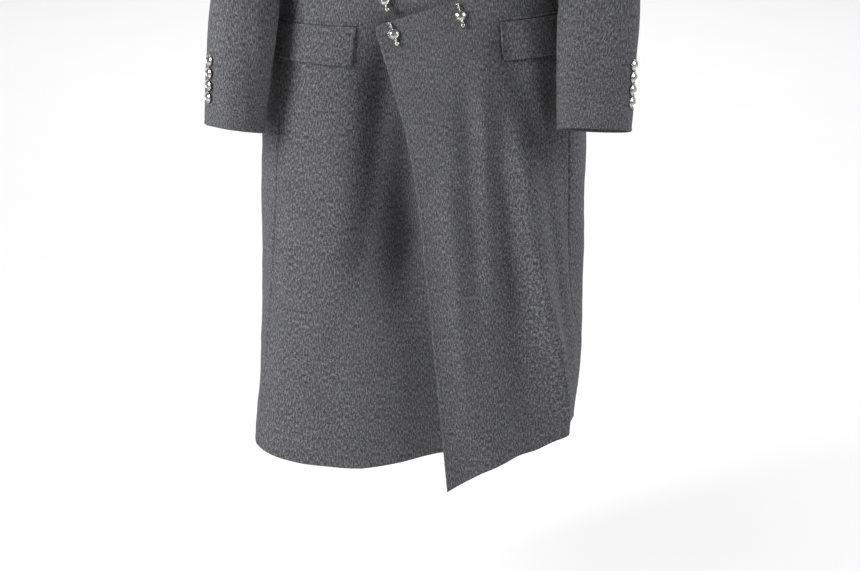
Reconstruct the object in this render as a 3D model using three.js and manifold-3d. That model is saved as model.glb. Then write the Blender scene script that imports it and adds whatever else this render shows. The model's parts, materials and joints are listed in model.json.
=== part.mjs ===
// A double-breasted long coat in heavy wool, filled out as when it is worn, with nobody in it.
// Millimetres, +Z up. X runs to the wearer's left, the front faces -Y, and the origin lies between
// the shoulders, level with the top of the shoulder seams, where the wearer carries the coat.
// The hollow form is a stack of rounded sections. Each cut piece is a wall on that form: a grid of
// points, each moved out along the form's normal, with a rim where the cloth ends.
import * as THREE from "three";
import { mergeVertices } from "three/addons/utils/BufferGeometryUtils.js";
import Module from "manifold-3d";

// ---------------------------------------------------------------- driving dimensions
const CLOTH = 2.4; // wall of the wool
const SEAM = 0.3; // gap between two pieces that are sewn together
const SLEEVE_SEAM = 0.7; // how far each sleeve piece stays off its seams, which bend more
const REST = 1.1; // gap under a piece that lies on another

const UNDERARM_Z = -240; // level of the side seams' top
const UNDERARM_DIP = 18; // how far the armhole drops below that level
const NECK_HALF = 75; // half-width of the neck at the shoulder seams
const NECK_DROP = 30; // back of the neck below the origin
const SHOULDER_HALF = 222;
const SHOULDER_DROP = 45;
const SHOULDER_Y = 5; // the shoulder seam lies a little behind the middle
const SHOULDER_SPREAD = 24; // the form widens this much from the underarm to the shoulder

const CROSS = { x: 44, z: -468 }; // where the two fronts cross, at the foot of the neck opening
const LAP_CORNER = { x: -69, z: -504 }; // upper corner of the lap
const UNDER_EDGE_X = 76; // front edge of the under front, hidden by the lap
const HEM_Z = -1150;

// Pocket flaps: inner is the x of the end near the front, and slant how far it leans out lower down.
// topRise and footRise are how much higher the outer end lies, and jet and jetRise are the same
// for the narrow strip above the flap.
const FLAPS = {
  right: { inner: 95, top: -505, length: 148, depth: 56, slant: 8, topRise: 0, footRise: 7, jet: 5, jetRise: 1 },
  left: { inner: 108, top: -499, length: 148, depth: 54, slant: 6, topRise: 8, footRise: 8, jet: 6, jetRise: 4 },
};
const JET_GAP = 0.2;
const FLAP_SWELL = 3;
// Bar pins: a round bar through a domed stud, with a small bead at its head and a ball at its foot.
const PIN = { above: 16, below: 14, bar: 1.6, bead: 2.3, stud: 7.6, dome: 3.2, ball: 3.7 };
// gap lies between the pin's back and the cloth at its middle.
const PINS = {
  pin_lap: { side: "left", x: -41, z: -514, lean: 20, gap: 0.2 },
  pin_top: { side: "left", x: 52, z: -489, lean: 14, gap: 0.4 },
  pin_under: { side: "right", x: -54, z: -467, lean: 16, gap: 0.55 },
};
const BUTTON = { radius: 8.5, edge: 1.1, dome: 2.4, pitch: 17.4, first: 41.5, count: 4, gap: 0.2 };

// Sections of the form. left and right are half-widths on the wearer's two sides, front and back are
// depths, and square is the power of the rounded section: 2 is an ellipse, and more is squarer.
const SECTIONS = [
  { z: -240, right: 214, left: 214, front: 128, back: 128, square: 2.4 },
  { z: -430, right: 206, left: 206, front: 126, back: 120, square: 2.4 },
  { z: -520, right: 224, left: 224, front: 138, back: 136, square: 2.5 },
  { z: -600, right: 237, left: 237, front: 148, back: 148, square: 2.6 },
  { z: -750, right: 241, left: 242, front: 156, back: 156, square: 2.7 },
  { z: -900, right: 243, left: 242, front: 163, back: 163, square: 2.8 },
  { z: -1000, right: 247, left: 241, front: 167, back: 167, square: 2.9 },
  { z: -1100, right: 255, left: 232, front: 170, back: 170, square: 3.0 },
  { z: -1200, right: 261, left: 226, front: 172, back: 172, square: 3.1 },
];
// Directions of the seams round the form, in degrees from the middle of the front.
const SEAMS = [
  { z: -240, right: 68, left: 68, back: 110 },
  { z: -500, right: 65, left: 67, back: 112 },
  { z: -675, right: 65, left: 67, back: 114 },
  { z: -900, right: 68, left: 67, back: 115 },
  { z: -1000, right: 70, left: 75, back: 115 },
  { z: -1200, right: 73, left: 79, back: 115 },
];
// Half-width of the coat's body at the armhole. t is 0 at the underarm and 1 at the shoulder seam.
const ARMHOLES = [
  { t: 0.2, front: 183, back: 187 },
  { t: 0.45, front: 182, back: 190 },
  { t: 0.7, front: 191, back: 200 },
  { t: 1, front: 222, back: 222 },
];
// The lap's front edge, from its corner to the tip of the hem.
const LAP_EDGE = [
  { z: -504, x: -69 },
  { z: -577, x: -46 },
  { z: -671, x: -21 },
  { z: -767, x: -6 },
  { z: -865, x: 4 },
  { z: -1014, x: 19 },
  { z: -1184, x: 35 },
];
// Hems. The lap hangs to a tip and is drawn up towards its side seam.
const LAP_HEM = [
  { x: 35, z: -1184 },
  { x: 67, z: -1165 },
  { x: 94, z: -1152 },
  { x: 126, z: -1142 },
  { x: 165, z: -1135 },
  { x: 191, z: -1126 },
  { x: 222, z: -1112 },
];
const UNDER_HEM = [
  { x: -250, z: -1150 },
  { x: -200, z: -1152 },
  { x: -100, z: -1154 },
  { x: -43, z: -1149 },
  { x: 29, z: -1137 },
  { x: 76, z: -1133 },
];
const HEM_LEFT = { seam: -1112, back: -1134, rise: -1150 }; // side seam, back seam, centre back
// How far the lap stands off the form, so that it clears the front that it covers.
const LAP_STAND = [
  { z: -380, off: 1 },
  { z: -468, off: 4.5 },
  { z: -520, off: 5 },
  { z: -800, off: 13 },
  { z: -1050, off: 16 },
  { z: -1190, off: 22 },
];
// Large soft folds: each runs down from topZ to footZ while its direction goes from topTurn to
// footTurn. width is its half-width and out its height, less than zero where it is a hollow.
const FOLDS = [
  { on: "left", topTurn: 40, topZ: -500, footTurn: 63, footZ: -1230, width: 18, out: 15 },
  { on: "left", topTurn: 57, topZ: -480, footTurn: 71, footZ: -1000, width: 24, out: -8 },
  { on: "left", topTurn: 33, topZ: -520, footTurn: 45, footZ: -1300, width: 22, out: -8 },
  { on: "left", topTurn: 29, topZ: -520, footTurn: 32, footZ: -960, width: 15, out: 5 },
  { on: "left", topTurn: 10, topZ: -620, footTurn: 24, footZ: -1150, width: 18, out: 6 },
  { on: "left", topTurn: -24, topZ: -400, footTurn: 36, footZ: -1500, width: 44, out: -8 },
  { on: "right", topTurn: -24, topZ: -450, footTurn: 18, footZ: -960, width: 86, out: -32 },
  { on: "right", topTurn: -9, topZ: -600, footTurn: 32, footZ: -1600, width: 84, out: -28 },
  { on: "right", topTurn: -22, topZ: -490, footTurn: -35, footZ: -960, width: 20, out: -5 },
  { on: "back", topTurn: 146, topZ: -480, footTurn: 139, footZ: -1500, width: 32, out: -8 },
  { on: "back", topTurn: 162, topZ: -560, footTurn: 160, footZ: -1500, width: 24, out: 4 },
  { on: "back", topTurn: -152, topZ: -520, footTurn: -147, footZ: -1500, width: 34, out: -9 },
  { on: "back", topTurn: -130, topZ: -600, footTurn: -126, footZ: -1280, width: 26, out: 5 },
];
// Rings of the two sleeves, from the armhole to the cuff. out and in are the ends of the ring away
// from the body and next to it, y and half are its middle and half-depth, bow moves the front and
// back of the ring along X, and pitch tips it forward, in degrees.
const SLEEVE_HEAD = [
  { outX: 222, outZ: -45, inX: 214, inZ: -258, y: 2, half: 78, bow: -30, pitch: 0 },
  { outX: 243, outZ: -53, inX: 221, inZ: -255, y: 1, half: 80, bow: -17, pitch: 0 },
  { outX: 264, outZ: -78, inX: 224, inZ: -261, y: 0, half: 80, bow: -7, pitch: 0 },
  { outX: 284, outZ: -122, inX: 221, inZ: -276, y: -2, half: 77, bow: 0, pitch: 1 },
  { outX: 300, outZ: -183, inX: 219, inZ: -298, y: -4, half: 74, bow: 0, pitch: 2 },
];
const SLEEVES = {
  right: [
    { outX: 305, outZ: -245, inX: 218, inZ: -322, y: -10, half: 70, bow: 0, pitch: 3 },
    { outX: 306, outZ: -312, inX: 213, inZ: -358, y: -20, half: 66, bow: 0, pitch: 7 },
    { outX: 302, outZ: -385, inX: 206, inZ: -410, y: -44, half: 62, bow: 0, pitch: 12 },
    { outX: 300, outZ: -448, inX: 203, inZ: -464, y: -77, half: 53, bow: 0, pitch: 15 },
    { outX: 304, outZ: -508, inX: 208, inZ: -521, y: -106, half: 46, bow: 0, pitch: 14 },
    { outX: 308, outZ: -562, inX: 216, inZ: -575, y: -116, half: 45, bow: 0, pitch: 11 },
    { outX: 311, outZ: -608, inX: 222, inZ: -620, y: -112, half: 46, bow: 0, pitch: 9 },
    { outX: 313, outZ: -648, inX: 227, inZ: -661, y: -110, half: 46, bow: 0, pitch: 8 },
  ],
  left: [
    { outX: 307, outZ: -245, inX: 218, inZ: -322, y: -14, half: 68, bow: 0, pitch: 4 },
    { outX: 309, outZ: -312, inX: 213, inZ: -358, y: -32, half: 62, bow: 0, pitch: 10 },
    { outX: 308, outZ: -385, inX: 201, inZ: -410, y: -64, half: 54, bow: 0, pitch: 16 },
    { outX: 306, outZ: -448, inX: 191, inZ: -464, y: -101, half: 44, bow: 0, pitch: 18 },
    { outX: 304, outZ: -508, inX: 188, inZ: -521, y: -128, half: 40, bow: 0, pitch: 18 },
    { outX: 301, outZ: -561, inX: 189, inZ: -570, y: -136, half: 38, bow: 0, pitch: 16 },
    { outX: 299, outZ: -609, inX: 190, inZ: -611, y: -139, half: 38, bow: 0, pitch: 15 },
    { outX: 296, outZ: -653, inX: 191, inZ: -649, y: -141, half: 37, bow: 0, pitch: 15 },
  ],
};
const BUTTON_TURN = { right: 33, left: 24 }; // where the cuff buttons sit, from the outside towards the front
// Lapels: outX and outZ are the free edge beside each place on the roll line.
const LAPEL = [
  { rollZ: -458, outX: 56, outZ: -447 },
  { rollZ: -360, outX: 104, outZ: -332 },
  { rollZ: -240, outX: 144, outZ: -212 },
  { rollZ: -120, outX: 174, outZ: -106 },
  { rollZ: -38, outX: 190, outZ: -52 },
];
const NOTCH = { x: 122, z: -76 }; // where the collar's end meets the lapel's top edge
// Collar, from the centre back to its end at the gorge: where it sits on the neck, how far its seam
// lies inside the edge and beside it, how high the fold stands, how far it leans out, and its free edge.
const COLLAR = [
  { neckX: 0, neckZ: -30, inside: 0, beside: 0, stand: 45, lean: -2, edgeX: 0, edgeZ: -48, behind: true },
  { neckX: 45, neckZ: -27, inside: 0, beside: 0, stand: 43, lean: -1, edgeX: 60, edgeZ: -44, behind: true },
  { neckX: 75, neckZ: 0, inside: 0, beside: 3.5, stand: 19, lean: -3, edgeX: 122, edgeZ: -14, behind: true },
  { neckX: 74, neckZ: -14, inside: 5, beside: 3.5, stand: 10, lean: -7, edgeX: 140, edgeZ: -46, behind: false },
  { neckX: 73, neckZ: -33, inside: 5, beside: 3, stand: -1, lean: -6, edgeX: 122, edgeZ: -73, behind: false },
];

// ---------------------------------------------------------------- helpers
const { clamp, degToRad, lerp, radToDeg, smoothstep } = THREE.MathUtils;
const vec = (x, y, z) => new THREE.Vector3(x, y, z);

// A column of a table as a curve of the key column: a cubic through the rows that never overshoots.
function read(table, key, at, column) {
  const rows = [...table].sort((a, b) => a[key] - b[key]);
  const x = rows.map((row) => row[key]);
  const y = rows.map((row) => row[column]);
  const last = x.length - 1;
  if (at <= x[0]) return y[0];
  if (at >= x[last]) return y[last];
  const rise = x.slice(1).map((next, i) => (y[i + 1] - y[i]) / (next - x[i]));
  const slope = (i) => {
    if (i === 0 || i === last) return rise[Math.min(i, last - 1)];
    if (rise[i - 1] * rise[i] <= 0) return 0;
    return (2 * rise[i - 1] * rise[i]) / (rise[i - 1] + rise[i]);
  };
  const i = x.findIndex((value) => value >= at) - 1;
  const width = x[i + 1] - x[i];
  const s = (at - x[i]) / width;
  return (
    y[i] * (1 + 2 * s) * (1 - s) ** 2 +
    y[i + 1] * s * s * (3 - 2 * s) +
    slope(i) * width * s * (1 - s) ** 2 +
    slope(i + 1) * width * s * s * (s - 1)
  );
}

// ---------------------------------------------------------------- the form
// A level is a place up the form: from 0 at the underarm to 1 at the shoulder seam it is a share,
// and below the underarm it is the drop in millimetres, less than zero.
const levelOf = (z) => (z > UNDERARM_Z ? (z - UNDERARM_Z) / -UNDERARM_Z : z - UNDERARM_Z);
const shoulderZ = (x) =>
  -SHOULDER_DROP * clamp((Math.abs(x) - NECK_HALF) / (SHOULDER_HALF - NECK_HALF), 0, 1);

function sectionAt(level) {
  const z = UNDERARM_Z + Math.min(level, 0);
  const spread = SHOULDER_SPREAD * Math.max(level, 0);
  return {
    z,
    left: read(SECTIONS, "z", z, "left") + spread,
    right: read(SECTIONS, "z", z, "right") + spread,
    front: read(SECTIONS, "z", z, "front"),
    back: read(SECTIONS, "z", z, "back"),
    square: read(SECTIONS, "z", z, "square"),
  };
}

// The direction, in degrees from the middle of the front, of the point of a section at this x.
function turnAt(x, level, behind = false) {
  const s = sectionAt(level);
  const across = Math.min(Math.abs(x) / (x < 0 ? s.right : s.left), 0.999);
  const depth = (behind ? -s.back : s.front) * (1 - across ** s.square) ** (1 / s.square);
  return radToDeg(Math.atan2(x, depth));
}

// A point of the bare form. Above the underarm its front and back round over to the shoulder seam.
function formPoint(turn, level) {
  const s = sectionAt(level);
  const sin = Math.sin(degToRad(turn));
  const cos = Math.cos(degToRad(turn));
  const half = sin < 0 ? s.right : s.left;
  const depth = cos > 0 ? s.front : s.back;
  const radius = (Math.abs(sin / half) ** s.square + Math.abs(cos / depth) ** s.square) ** (-1 / s.square);
  const x = radius * sin;
  const t = clamp(level, 0, 1);
  const round = cos > 0 ? (1 - t ** 2.2) ** 0.8 : (1 - t ** 2.6) ** 0.7;
  return vec(x, lerp(SHOULDER_Y, -radius * cos, round), s.z + t * (shoulderZ(x) - s.z));
}

function formNormal(turn, level) {
  if (level === 1) {
    const x = formPoint(turn, level).x;
    return vec((shoulderZ(x - 1) - shoulderZ(x + 1)) / 2, 0, 1).normalize();
  }
  const step = level > 0 ? 0.004 : 0.5;
  const across = formPoint(turn + 0.4, level).sub(formPoint(turn - 0.4, level));
  const up = formPoint(turn, Math.min(level + step, 1)).sub(formPoint(turn, level - step));
  return across.cross(up).normalize();
}

// The height of the folds at a place on the form.
function foldsAt(side, turn, point) {
  let out = 0;
  for (const fold of FOLDS) {
    if (fold.on !== "back" && fold.on !== side) continue;
    const down = (fold.topZ - point.z) / (fold.topZ - fold.footZ);
    if (down <= 0 || down >= 1) continue;
    const apart = ((turn - lerp(fold.topTurn, fold.footTurn, down) + 540) % 360) - 180;
    const distance = degToRad(apart) * Math.hypot(point.x, point.y);
    const fade = smoothstep(down, 0, 0.3) * (1 - smoothstep(down, 0.7, 1));
    out += fold.out * fade * Math.exp(-((distance / fold.width) ** 2));
  }
  return out;
}

// How far the lap stands off the form here, so that it clears the under front.
const standAt = (point) =>
  read(LAP_STAND, "z", point.z, "off") * (1 - smoothstep(point.x, 84, 165));

// A point on the coat's own outside, and its normal. lift moves it out, to lie on that piece.
function onCoat(side, turn, level, lift = 0) {
  const bare = formPoint(turn, level);
  const normal = formNormal(turn, level);
  const front = Math.abs(turn) < 90;
  const stand = side === "left" && front ? standAt(bare) : 0;
  const out = foldsAt(side, turn, bare) + stand + lift;
  if (level === 1) bare.y += (front ? -SEAM : SEAM) / 2; // the shoulder seam
  return { at: bare.addScaledVector(normal, out), normal };
}
// The same, at an x and z of the front.
function onFront(side, x, z, lift = 0) {
  // Above the underarm the share of the height depends on the shoulder seam's own height at x.
  const level = z > UNDERARM_Z ? (z - UNDERARM_Z) / (shoulderZ(x) - UNDERARM_Z) : z - UNDERARM_Z;
  return onCoat(side, turnAt(x, level), level, lift);
}

// ---------------------------------------------------------------- walls
// A closed wall under a grid of points. grid[row][column] is { at, normal } or null where the piece
// has no cloth. The inner face lies one thickness inside, and a rim closes every free edge.
function clothWall(grid, thickness = CLOTH) {
  const outer = [];
  const indexAt = grid.map((row) => row.map((point) => (point ? outer.push(point) - 1 : -1)));
  const positions = outer.map((point) => point.at);
  for (const { at, normal } of outer) positions.push(at.clone().addScaledVector(normal, -thickness));
  const triangles = [];
  const edges = new Map();
  const cell = (a, b, c, d) => {
    triangles.push([a, b, c], [a, c, d]);
    const under = outer.length;
    triangles.push([a + under, c + under, b + under], [a + under, d + under, c + under]);
    for (const [from, to] of [[a, b], [b, c], [c, d], [d, a]]) {
      if (edges.has(`${to},${from}`)) edges.delete(`${to},${from}`);
      else edges.set(`${from},${to}`, [from, to]);
    }
  };
  for (let row = 0; row + 1 < grid.length; row++) {
    for (let column = 0; column + 1 < grid[row].length; column++) {
      const corners = [
        indexAt[row][column],
        indexAt[row + 1][column],
        indexAt[row + 1][column + 1],
        indexAt[row][column + 1],
      ];
      if (corners.every((index) => index >= 0)) cell(...corners);
    }
  }
  for (const [from, to] of edges.values()) {
    const under = outer.length;
    triangles.push([from, from + under, to + under], [from, to + under, to]);
  }
  return closedGeometry(positions, triangles);
}

// A geometry of these triangles, turned so that its faces point out.
function closedGeometry(positions, triangles) {
  let volume = 0;
  for (const [a, b, c] of triangles) {
    volume += positions[a].dot(positions[b].clone().cross(positions[c]));
  }
  const index = triangles.flatMap(([a, b, c]) => (volume < 0 ? [a, c, b] : [a, b, c]));
  const geometry = new THREE.BufferGeometry().setFromPoints(positions);
  geometry.setIndex(index);
  geometry.computeVertexNormals();
  return geometry;
}

// ---------------------------------------------------------------- the body of the coat
const LEVELS_ABOVE = [1, 0.88, 0.75, 0.61, 0.47, 0.32, 0.16]; // shares, shoulder to underarm
const LEVELS_BELOW = [UNDERARM_Z, -300, -360, -415, CROSS.z]; // heights, underarm to crossing
const SHARES_DOWN = [0.07, 0.15, 0.23, 0.32, 0.41, 0.5, 0.59, 0.68, 0.77, 0.85, 0.93, 1];
const signOf = { left: 1, right: -1 };

const seamTurn = (side, z) => signOf[side] * read(SEAMS, "z", z, side);
const backSeamTurn = (side, z) => signOf[side] * read(SEAMS, "z", z, "back");
// The turn that moves a point by this many millimetres round the form.
const sew = (turn, level, gap) => {
  const point = formPoint(turn, level);
  return radToDeg(gap / Math.hypot(point.x, point.y));
};

// The x of the roll line, where each front turns over into its lapel.
const rollX = (side, z) => lerp(signOf[side] * NECK_HALF, CROSS.x, clamp(z / CROSS.z, 0, 1));

// The turn of the armhole's edge at a share of the height above the underarm.
function armholeTurn(side, t, part) {
  const behind = part === "back";
  const z = UNDERARM_Z;
  const seam = behind ? backSeamTurn(side, z) : seamTurn(side, z);
  const start = { t: 0, [part]: Math.abs(formPoint(seam, 0).x) };
  const half = read([start, ...ARMHOLES], "t", t, part);
  return turnAt(signOf[side] * half, t, behind);
}

const FRONT_COLUMNS = 10; // from the roll line to the side seam
const LAP_COLUMNS = 5; // from the front edge to the line below the crossing

function frontEdge(side, share) {
  if (side === "left") {
    const z = lerp(LAP_CORNER.z, LAP_HEM[0].z, share);
    return { x: read(LAP_EDGE, "z", z, "x"), z };
  }
  const hem = read(UNDER_HEM, "x", UNDER_EDGE_X, "z");
  return { x: UNDER_EDGE_X, z: lerp(CROSS.z - 32, hem, share) };
}

function frontHem(side, x) {
  return side === "left" ? read(LAP_HEM, "x", x, "z") : read(UNDER_HEM, "x", x, "z");
}

// One row of a front's main columns, from an x near its edge to the side seam or armhole.
function frontRow(side, fromX, level, toTurn) {
  const gap = signOf[side] * sew(toTurn, level, SEAM / 2);
  const from = turnAt(fromX, level);
  return Array.from({ length: FRONT_COLUMNS + 1 }, (_, column) =>
    onCoat(side, lerp(from, toTurn - gap, column / FRONT_COLUMNS), level),
  );
}

function frontGrid(side) {
  const none = Array(LAP_COLUMNS).fill(null);
  const grid = [];
  for (const t of LEVELS_ABOVE) {
    const edge = rollX(side, UNDERARM_Z * (1 - t));
    grid.push([...none, ...frontRow(side, edge, t, armholeTurn(side, t, "front"))]);
  }
  for (const z of LEVELS_BELOW) {
    const row = frontRow(side, rollX(side, z), levelOf(z), seamTurn(side, z));
    grid.push(z === CROSS.z ? [...lapRow(side, 0), ...row] : [...none, ...row]);
  }
  for (const share of SHARES_DOWN) {
    const line = innerLine(side, share);
    const seamZ = lerp(CROSS.z, hemAtSeam(side), share);
    const toTurn = seamTurn(side, seamZ);
    const from = turnAt(line.x, levelOf(line.z));
    const gap = signOf[side] * sew(toTurn, levelOf(seamZ), SEAM / 2);
    const row = Array.from({ length: FRONT_COLUMNS + 1 }, (_, column) => {
      const turn = lerp(from, toTurn - gap, column / FRONT_COLUMNS);
      const foot = formPoint(turn, levelOf(HEM_Z)).x;
      return onCoat(side, turn, levelOf(lerp(CROSS.z, frontHem(side, foot), share)));
    });
    grid.push([...lapRow(side, share), ...row]);
  }
  return grid;
}

// The line down from the crossing that parts a front's lap columns from its main ones.
function innerLine(side, share) {
  const x = lerp(CROSS.x, side === "left" ? 84 : 30, share);
  return { x, z: lerp(CROSS.z, frontHem(side, x), share) };
}
const hemAtSeam = (side) =>
  side === "left" ? HEM_LEFT.seam : frontHem("right", formPoint(seamTurn("right", HEM_Z), levelOf(HEM_Z)).x);

// The lap columns of a row, from the front edge to just short of the line below the crossing.
function lapRow(side, share) {
  const edge = frontEdge(side, share);
  const line = innerLine(side, share);
  return Array.from({ length: LAP_COLUMNS }, (_, column) => {
    const across = column / LAP_COLUMNS;
    return onFront(side, lerp(edge.x, line.x, across), lerp(edge.z, line.z, across));
  });
}

const SIDE_COLUMNS = 5;
const sideHem = (side, share) => lerp(hemAtSeam(side), side === "left" ? HEM_LEFT.back : HEM_Z, share);

function sideGrid(side) {
  const row = (heightAt) =>
    Array.from({ length: SIDE_COLUMNS + 1 }, (_, column) => {
      const share = column / SIDE_COLUMNS;
      const level = levelOf(heightAt(share));
      const z = UNDERARM_Z + level;
      const gap = signOf[side] * sew(seamTurn(side, z), level, SEAM / 2);
      const turn = lerp(seamTurn(side, z) + gap, backSeamTurn(side, z) - gap, share);
      return onCoat(side, turn, level);
    });
  const dip = (share) => UNDERARM_Z - UNDERARM_DIP * Math.sin(Math.PI * share);
  return [
    row((share) => dip(share)),
    ...LEVELS_BELOW.slice(1).map((z) => row(() => z)),
    ...SHARES_DOWN.map((down) => row((share) => lerp(CROSS.z, sideHem(side, share), down))),
  ];
}

const BACK_COLUMNS = 9;
const NECK_COLUMNS = 4;
// The top of the back at an x: the neckline dips between the shoulder seams.
function backTop(x) {
  const across = Math.min(Math.abs(x) / NECK_HALF, 1);
  return 1 - (NECK_DROP / -UNDERARM_Z) * Math.sqrt(1 - across ** 2.5);
}

function backGrid(side) {
  const middle = signOf[side] * 180;
  const neckTurn = turnAt(signOf[side] * NECK_HALF, 1, true);
  const neckShare = (middle - neckTurn) / (middle - armholeTurn(side, 1, "back"));
  const shares = Array.from({ length: BACK_COLUMNS + 1 }, (_, column) =>
    column <= NECK_COLUMNS
      ? (neckShare * column) / NECK_COLUMNS
      : lerp(neckShare, 1, (column - NECK_COLUMNS) / (BACK_COLUMNS - NECK_COLUMNS)),
  );
  const hem = (share) =>
    side === "left" ? lerp(HEM_LEFT.rise, HEM_LEFT.back, share) : HEM_Z;
  const row = (sideTurn, levelAt) =>
    shares.map((share) => {
      const level = levelAt(share);
      const gap = signOf[side] * sew(middle, level, SEAM / 2);
      const turn = lerp(middle - gap, sideTurn(level) + gap, share);
      return onCoat(side, turn, level);
    });
  const topAt = (share, t) => {
    const turn = lerp(middle, armholeTurn(side, t, "back"), share);
    return backTop(formPoint(turn, t).x) * t;
  };
  return [
    ...LEVELS_ABOVE.map((t) =>
      row(
        () => armholeTurn(side, t, "back"),
        (share) => topAt(share, t),
      ),
    ),
    ...LEVELS_BELOW.map((z) =>
      row(
        () => backSeamTurn(side, z),
        () => levelOf(z),
      ),
    ),
    ...SHARES_DOWN.map((down) =>
      row(
        (level) => backSeamTurn(side, UNDERARM_Z + level),
        (share) => levelOf(lerp(CROSS.z, hem(share), down)),
      ),
    ),
  ];
}

// ---------------------------------------------------------------- sleeves
const SLEEVE_TWIST = { right: 70, left: 61 }; // degrees that the seams turn forward down to the cuff
const HEAD_FADE = [1, 0.62, 0.28, 0.08, 0]; // how much of the armhole's own shape each ring keeps
const SLEEVE_FRONT_SEAM = 6; // columns of the seams, counted from the shoulder point round the front
const SLEEVE_BACK_SEAM = 15;
const SIDE_LEVELS = LEVELS_ABOVE.slice(1);

// The armhole: points on the edges of front, side and back, in turn, starting at the shoulder.
function armhole(side) {
  const at = (t, part) => onCoat(side, armholeTurn(side, t, part), t);
  const below = Array.from({ length: SIDE_COLUMNS + 1 }, (_, column) => {
    const share = column / SIDE_COLUMNS;
    const turn = lerp(seamTurn(side, UNDERARM_Z), backSeamTurn(side, UNDERARM_Z), share);
    return onCoat(side, turn, -UNDERARM_DIP * Math.sin(Math.PI * share));
  });
  return [
    at(1, "front"),
    ...SIDE_LEVELS.map((t) => at(t, "front")),
    ...below,
    ...[...SIDE_LEVELS].reverse().map((t) => at(t, "back")),
  ];
}

// A sleeve's rings as one table, numbered from 0 at the armhole.
const ringsOf = (side) => [...SLEEVE_HEAD, ...SLEEVES[side]].map((row, number) => ({ number, ...row }));

// A point of a sleeve's ring: 0 degrees is its outer end, 90 its front and 180 its inner end.
function ringPoint(side, rings, number, degrees) {
  const get = (column) => read(rings, "number", number, column);
  const cos = Math.cos(degToRad(degrees));
  const sin = Math.sin(degToRad(degrees));
  const pitch = degToRad(get("pitch"));
  const middle = vec((get("outX") + get("inX")) / 2 + get("bow") * sin * sin, get("y"), 0);
  const across = vec((get("outX") - get("inX")) / 2, 0, (get("outZ") - get("inZ")) / 2);
  const forward = vec(0, -Math.cos(pitch), Math.sin(pitch)).multiplyScalar(get("half"));
  const point = middle.addScaledVector(across, cos).addScaledVector(forward, sin);
  point.z += (get("outZ") + get("inZ")) / 2;
  point.x *= signOf[side];
  return point;
}

function sleeveMesh(side) {
  const rings = ringsOf(side);
  const hole = armhole(side);
  const count = hole.length;
  const first = rings[0];
  const own = hole.map(({ at }, column) => {
    const up = (at.z - (first.outZ + first.inZ) / 2) / ((first.outZ - first.inZ) / 2);
    const angle = radToDeg(Math.atan2((first.y - at.y) / first.half, up));
    return column > 0 && angle < 0 ? angle + 360 : angle;
  });
  const points = rings.map(({ number }) => {
    const down = number / (rings.length - 1);
    const even = smoothstep(down, 0, 0.45);
    const keep = HEAD_FADE[number] ?? 0;
    return hole.map(({ at }, column) => {
      const twist = SLEEVE_TWIST[side] * smoothstep(down, 0.1, 1);
      const degrees = lerp(own[column], (360 * column) / count, even) + twist;
      const rest = at.clone().sub(ringPoint(side, rings, 0, own[column]));
      return ringPoint(side, rings, number, degrees).addScaledVector(rest, keep);
    });
  });
  const normals = points.map((ring, row) =>
    ring.map((point, column) => {
      if (row === 0) return hole[column].normal.clone();
      const around = ring[(column + 1) % count].clone().sub(ring[(column + count - 1) % count]);
      const above = points[row - 1][column];
      const below = points[Math.min(row + 1, points.length - 1)][column];
      return around.cross(below.clone().sub(above)).multiplyScalar(signOf[side]).normalize();
    }),
  );
  // The first ring stands one seam's gap off the armhole, along the cloth.
  points[0] = points[0].map((point, column) => {
    const around = hole[(column + 1) % count].at.clone().sub(hole[(column + count - 1) % count].at);
    const off = around.cross(hole[column].normal).normalize();
    if (off.dot(points[1][column].clone().sub(point)) < 0) off.negate();
    return point.addScaledVector(off, SEAM);
  });
  return { points, normals, count };
}

// The grid of one sleeve piece, between two seam columns.
function sleeveGrid(mesh, from, to) {
  const columns = Array.from({ length: to - from + 1 }, (_, i) => (from + i) % mesh.count);
  return mesh.points.map((ring, row) =>
    columns.map((column, i) => {
      const at = ring[column].clone();
      const inward = i === 0 ? columns[1] : i === columns.length - 1 ? columns[i - 1] : column;
      if (inward !== column) at.addScaledVector(ring[inward].clone().sub(at).normalize(), SLEEVE_SEAM);
      return { at, normal: mesh.normals[row][column] };
    }),
  );
}

// ---------------------------------------------------------------- lapels, collar, pockets
const LAPEL_ROWS = 10;
const LAPEL_COLUMNS = 6;

function lapelGrid(side) {
  const sign = signOf[side];
  const start = LAPEL[0].rollZ;
  const end = LAPEL.at(-1).rollZ;
  return Array.from({ length: LAPEL_ROWS + 1 }, (_, row) => {
    const up = row / LAPEL_ROWS;
    const rollZ = lerp(start, end, up);
    const free = { x: sign * read(LAPEL, "rollZ", rollZ, "outX"), z: read(LAPEL, "rollZ", rollZ, "outZ") };
    if (side === "right") free.x = lerp(rollX("right", rollZ) - 10, free.x, smoothstep(up, -0.3, 0.6));
    return Array.from({ length: LAPEL_COLUMNS + 1 }, (_, column) => {
      const u = column / LAPEL_COLUMNS;
      const notch = (1 - Math.abs(2 * u - 1)) * up ** 6;
      const half = (sign * NECK_HALF + free.x) / 2;
      const x = lerp(rollX(side, rollZ), free.x, u) + notch * (sign * NOTCH.x - half);
      const z = lerp(rollZ, free.z, u) + notch * (NOTCH.z - (end + LAPEL.at(-1).outZ) / 2);
      return onFront(side, x, z, REST + CLOTH + 0.4 + 2 * Math.sin(Math.PI * u));
    });
  });
}

const COLLAR_ALONG = 18;
const COLLAR_ACROSS = 9;
const LEAF = { lift: REST + CLOTH + 1.5, bulge: 9.5 };

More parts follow.
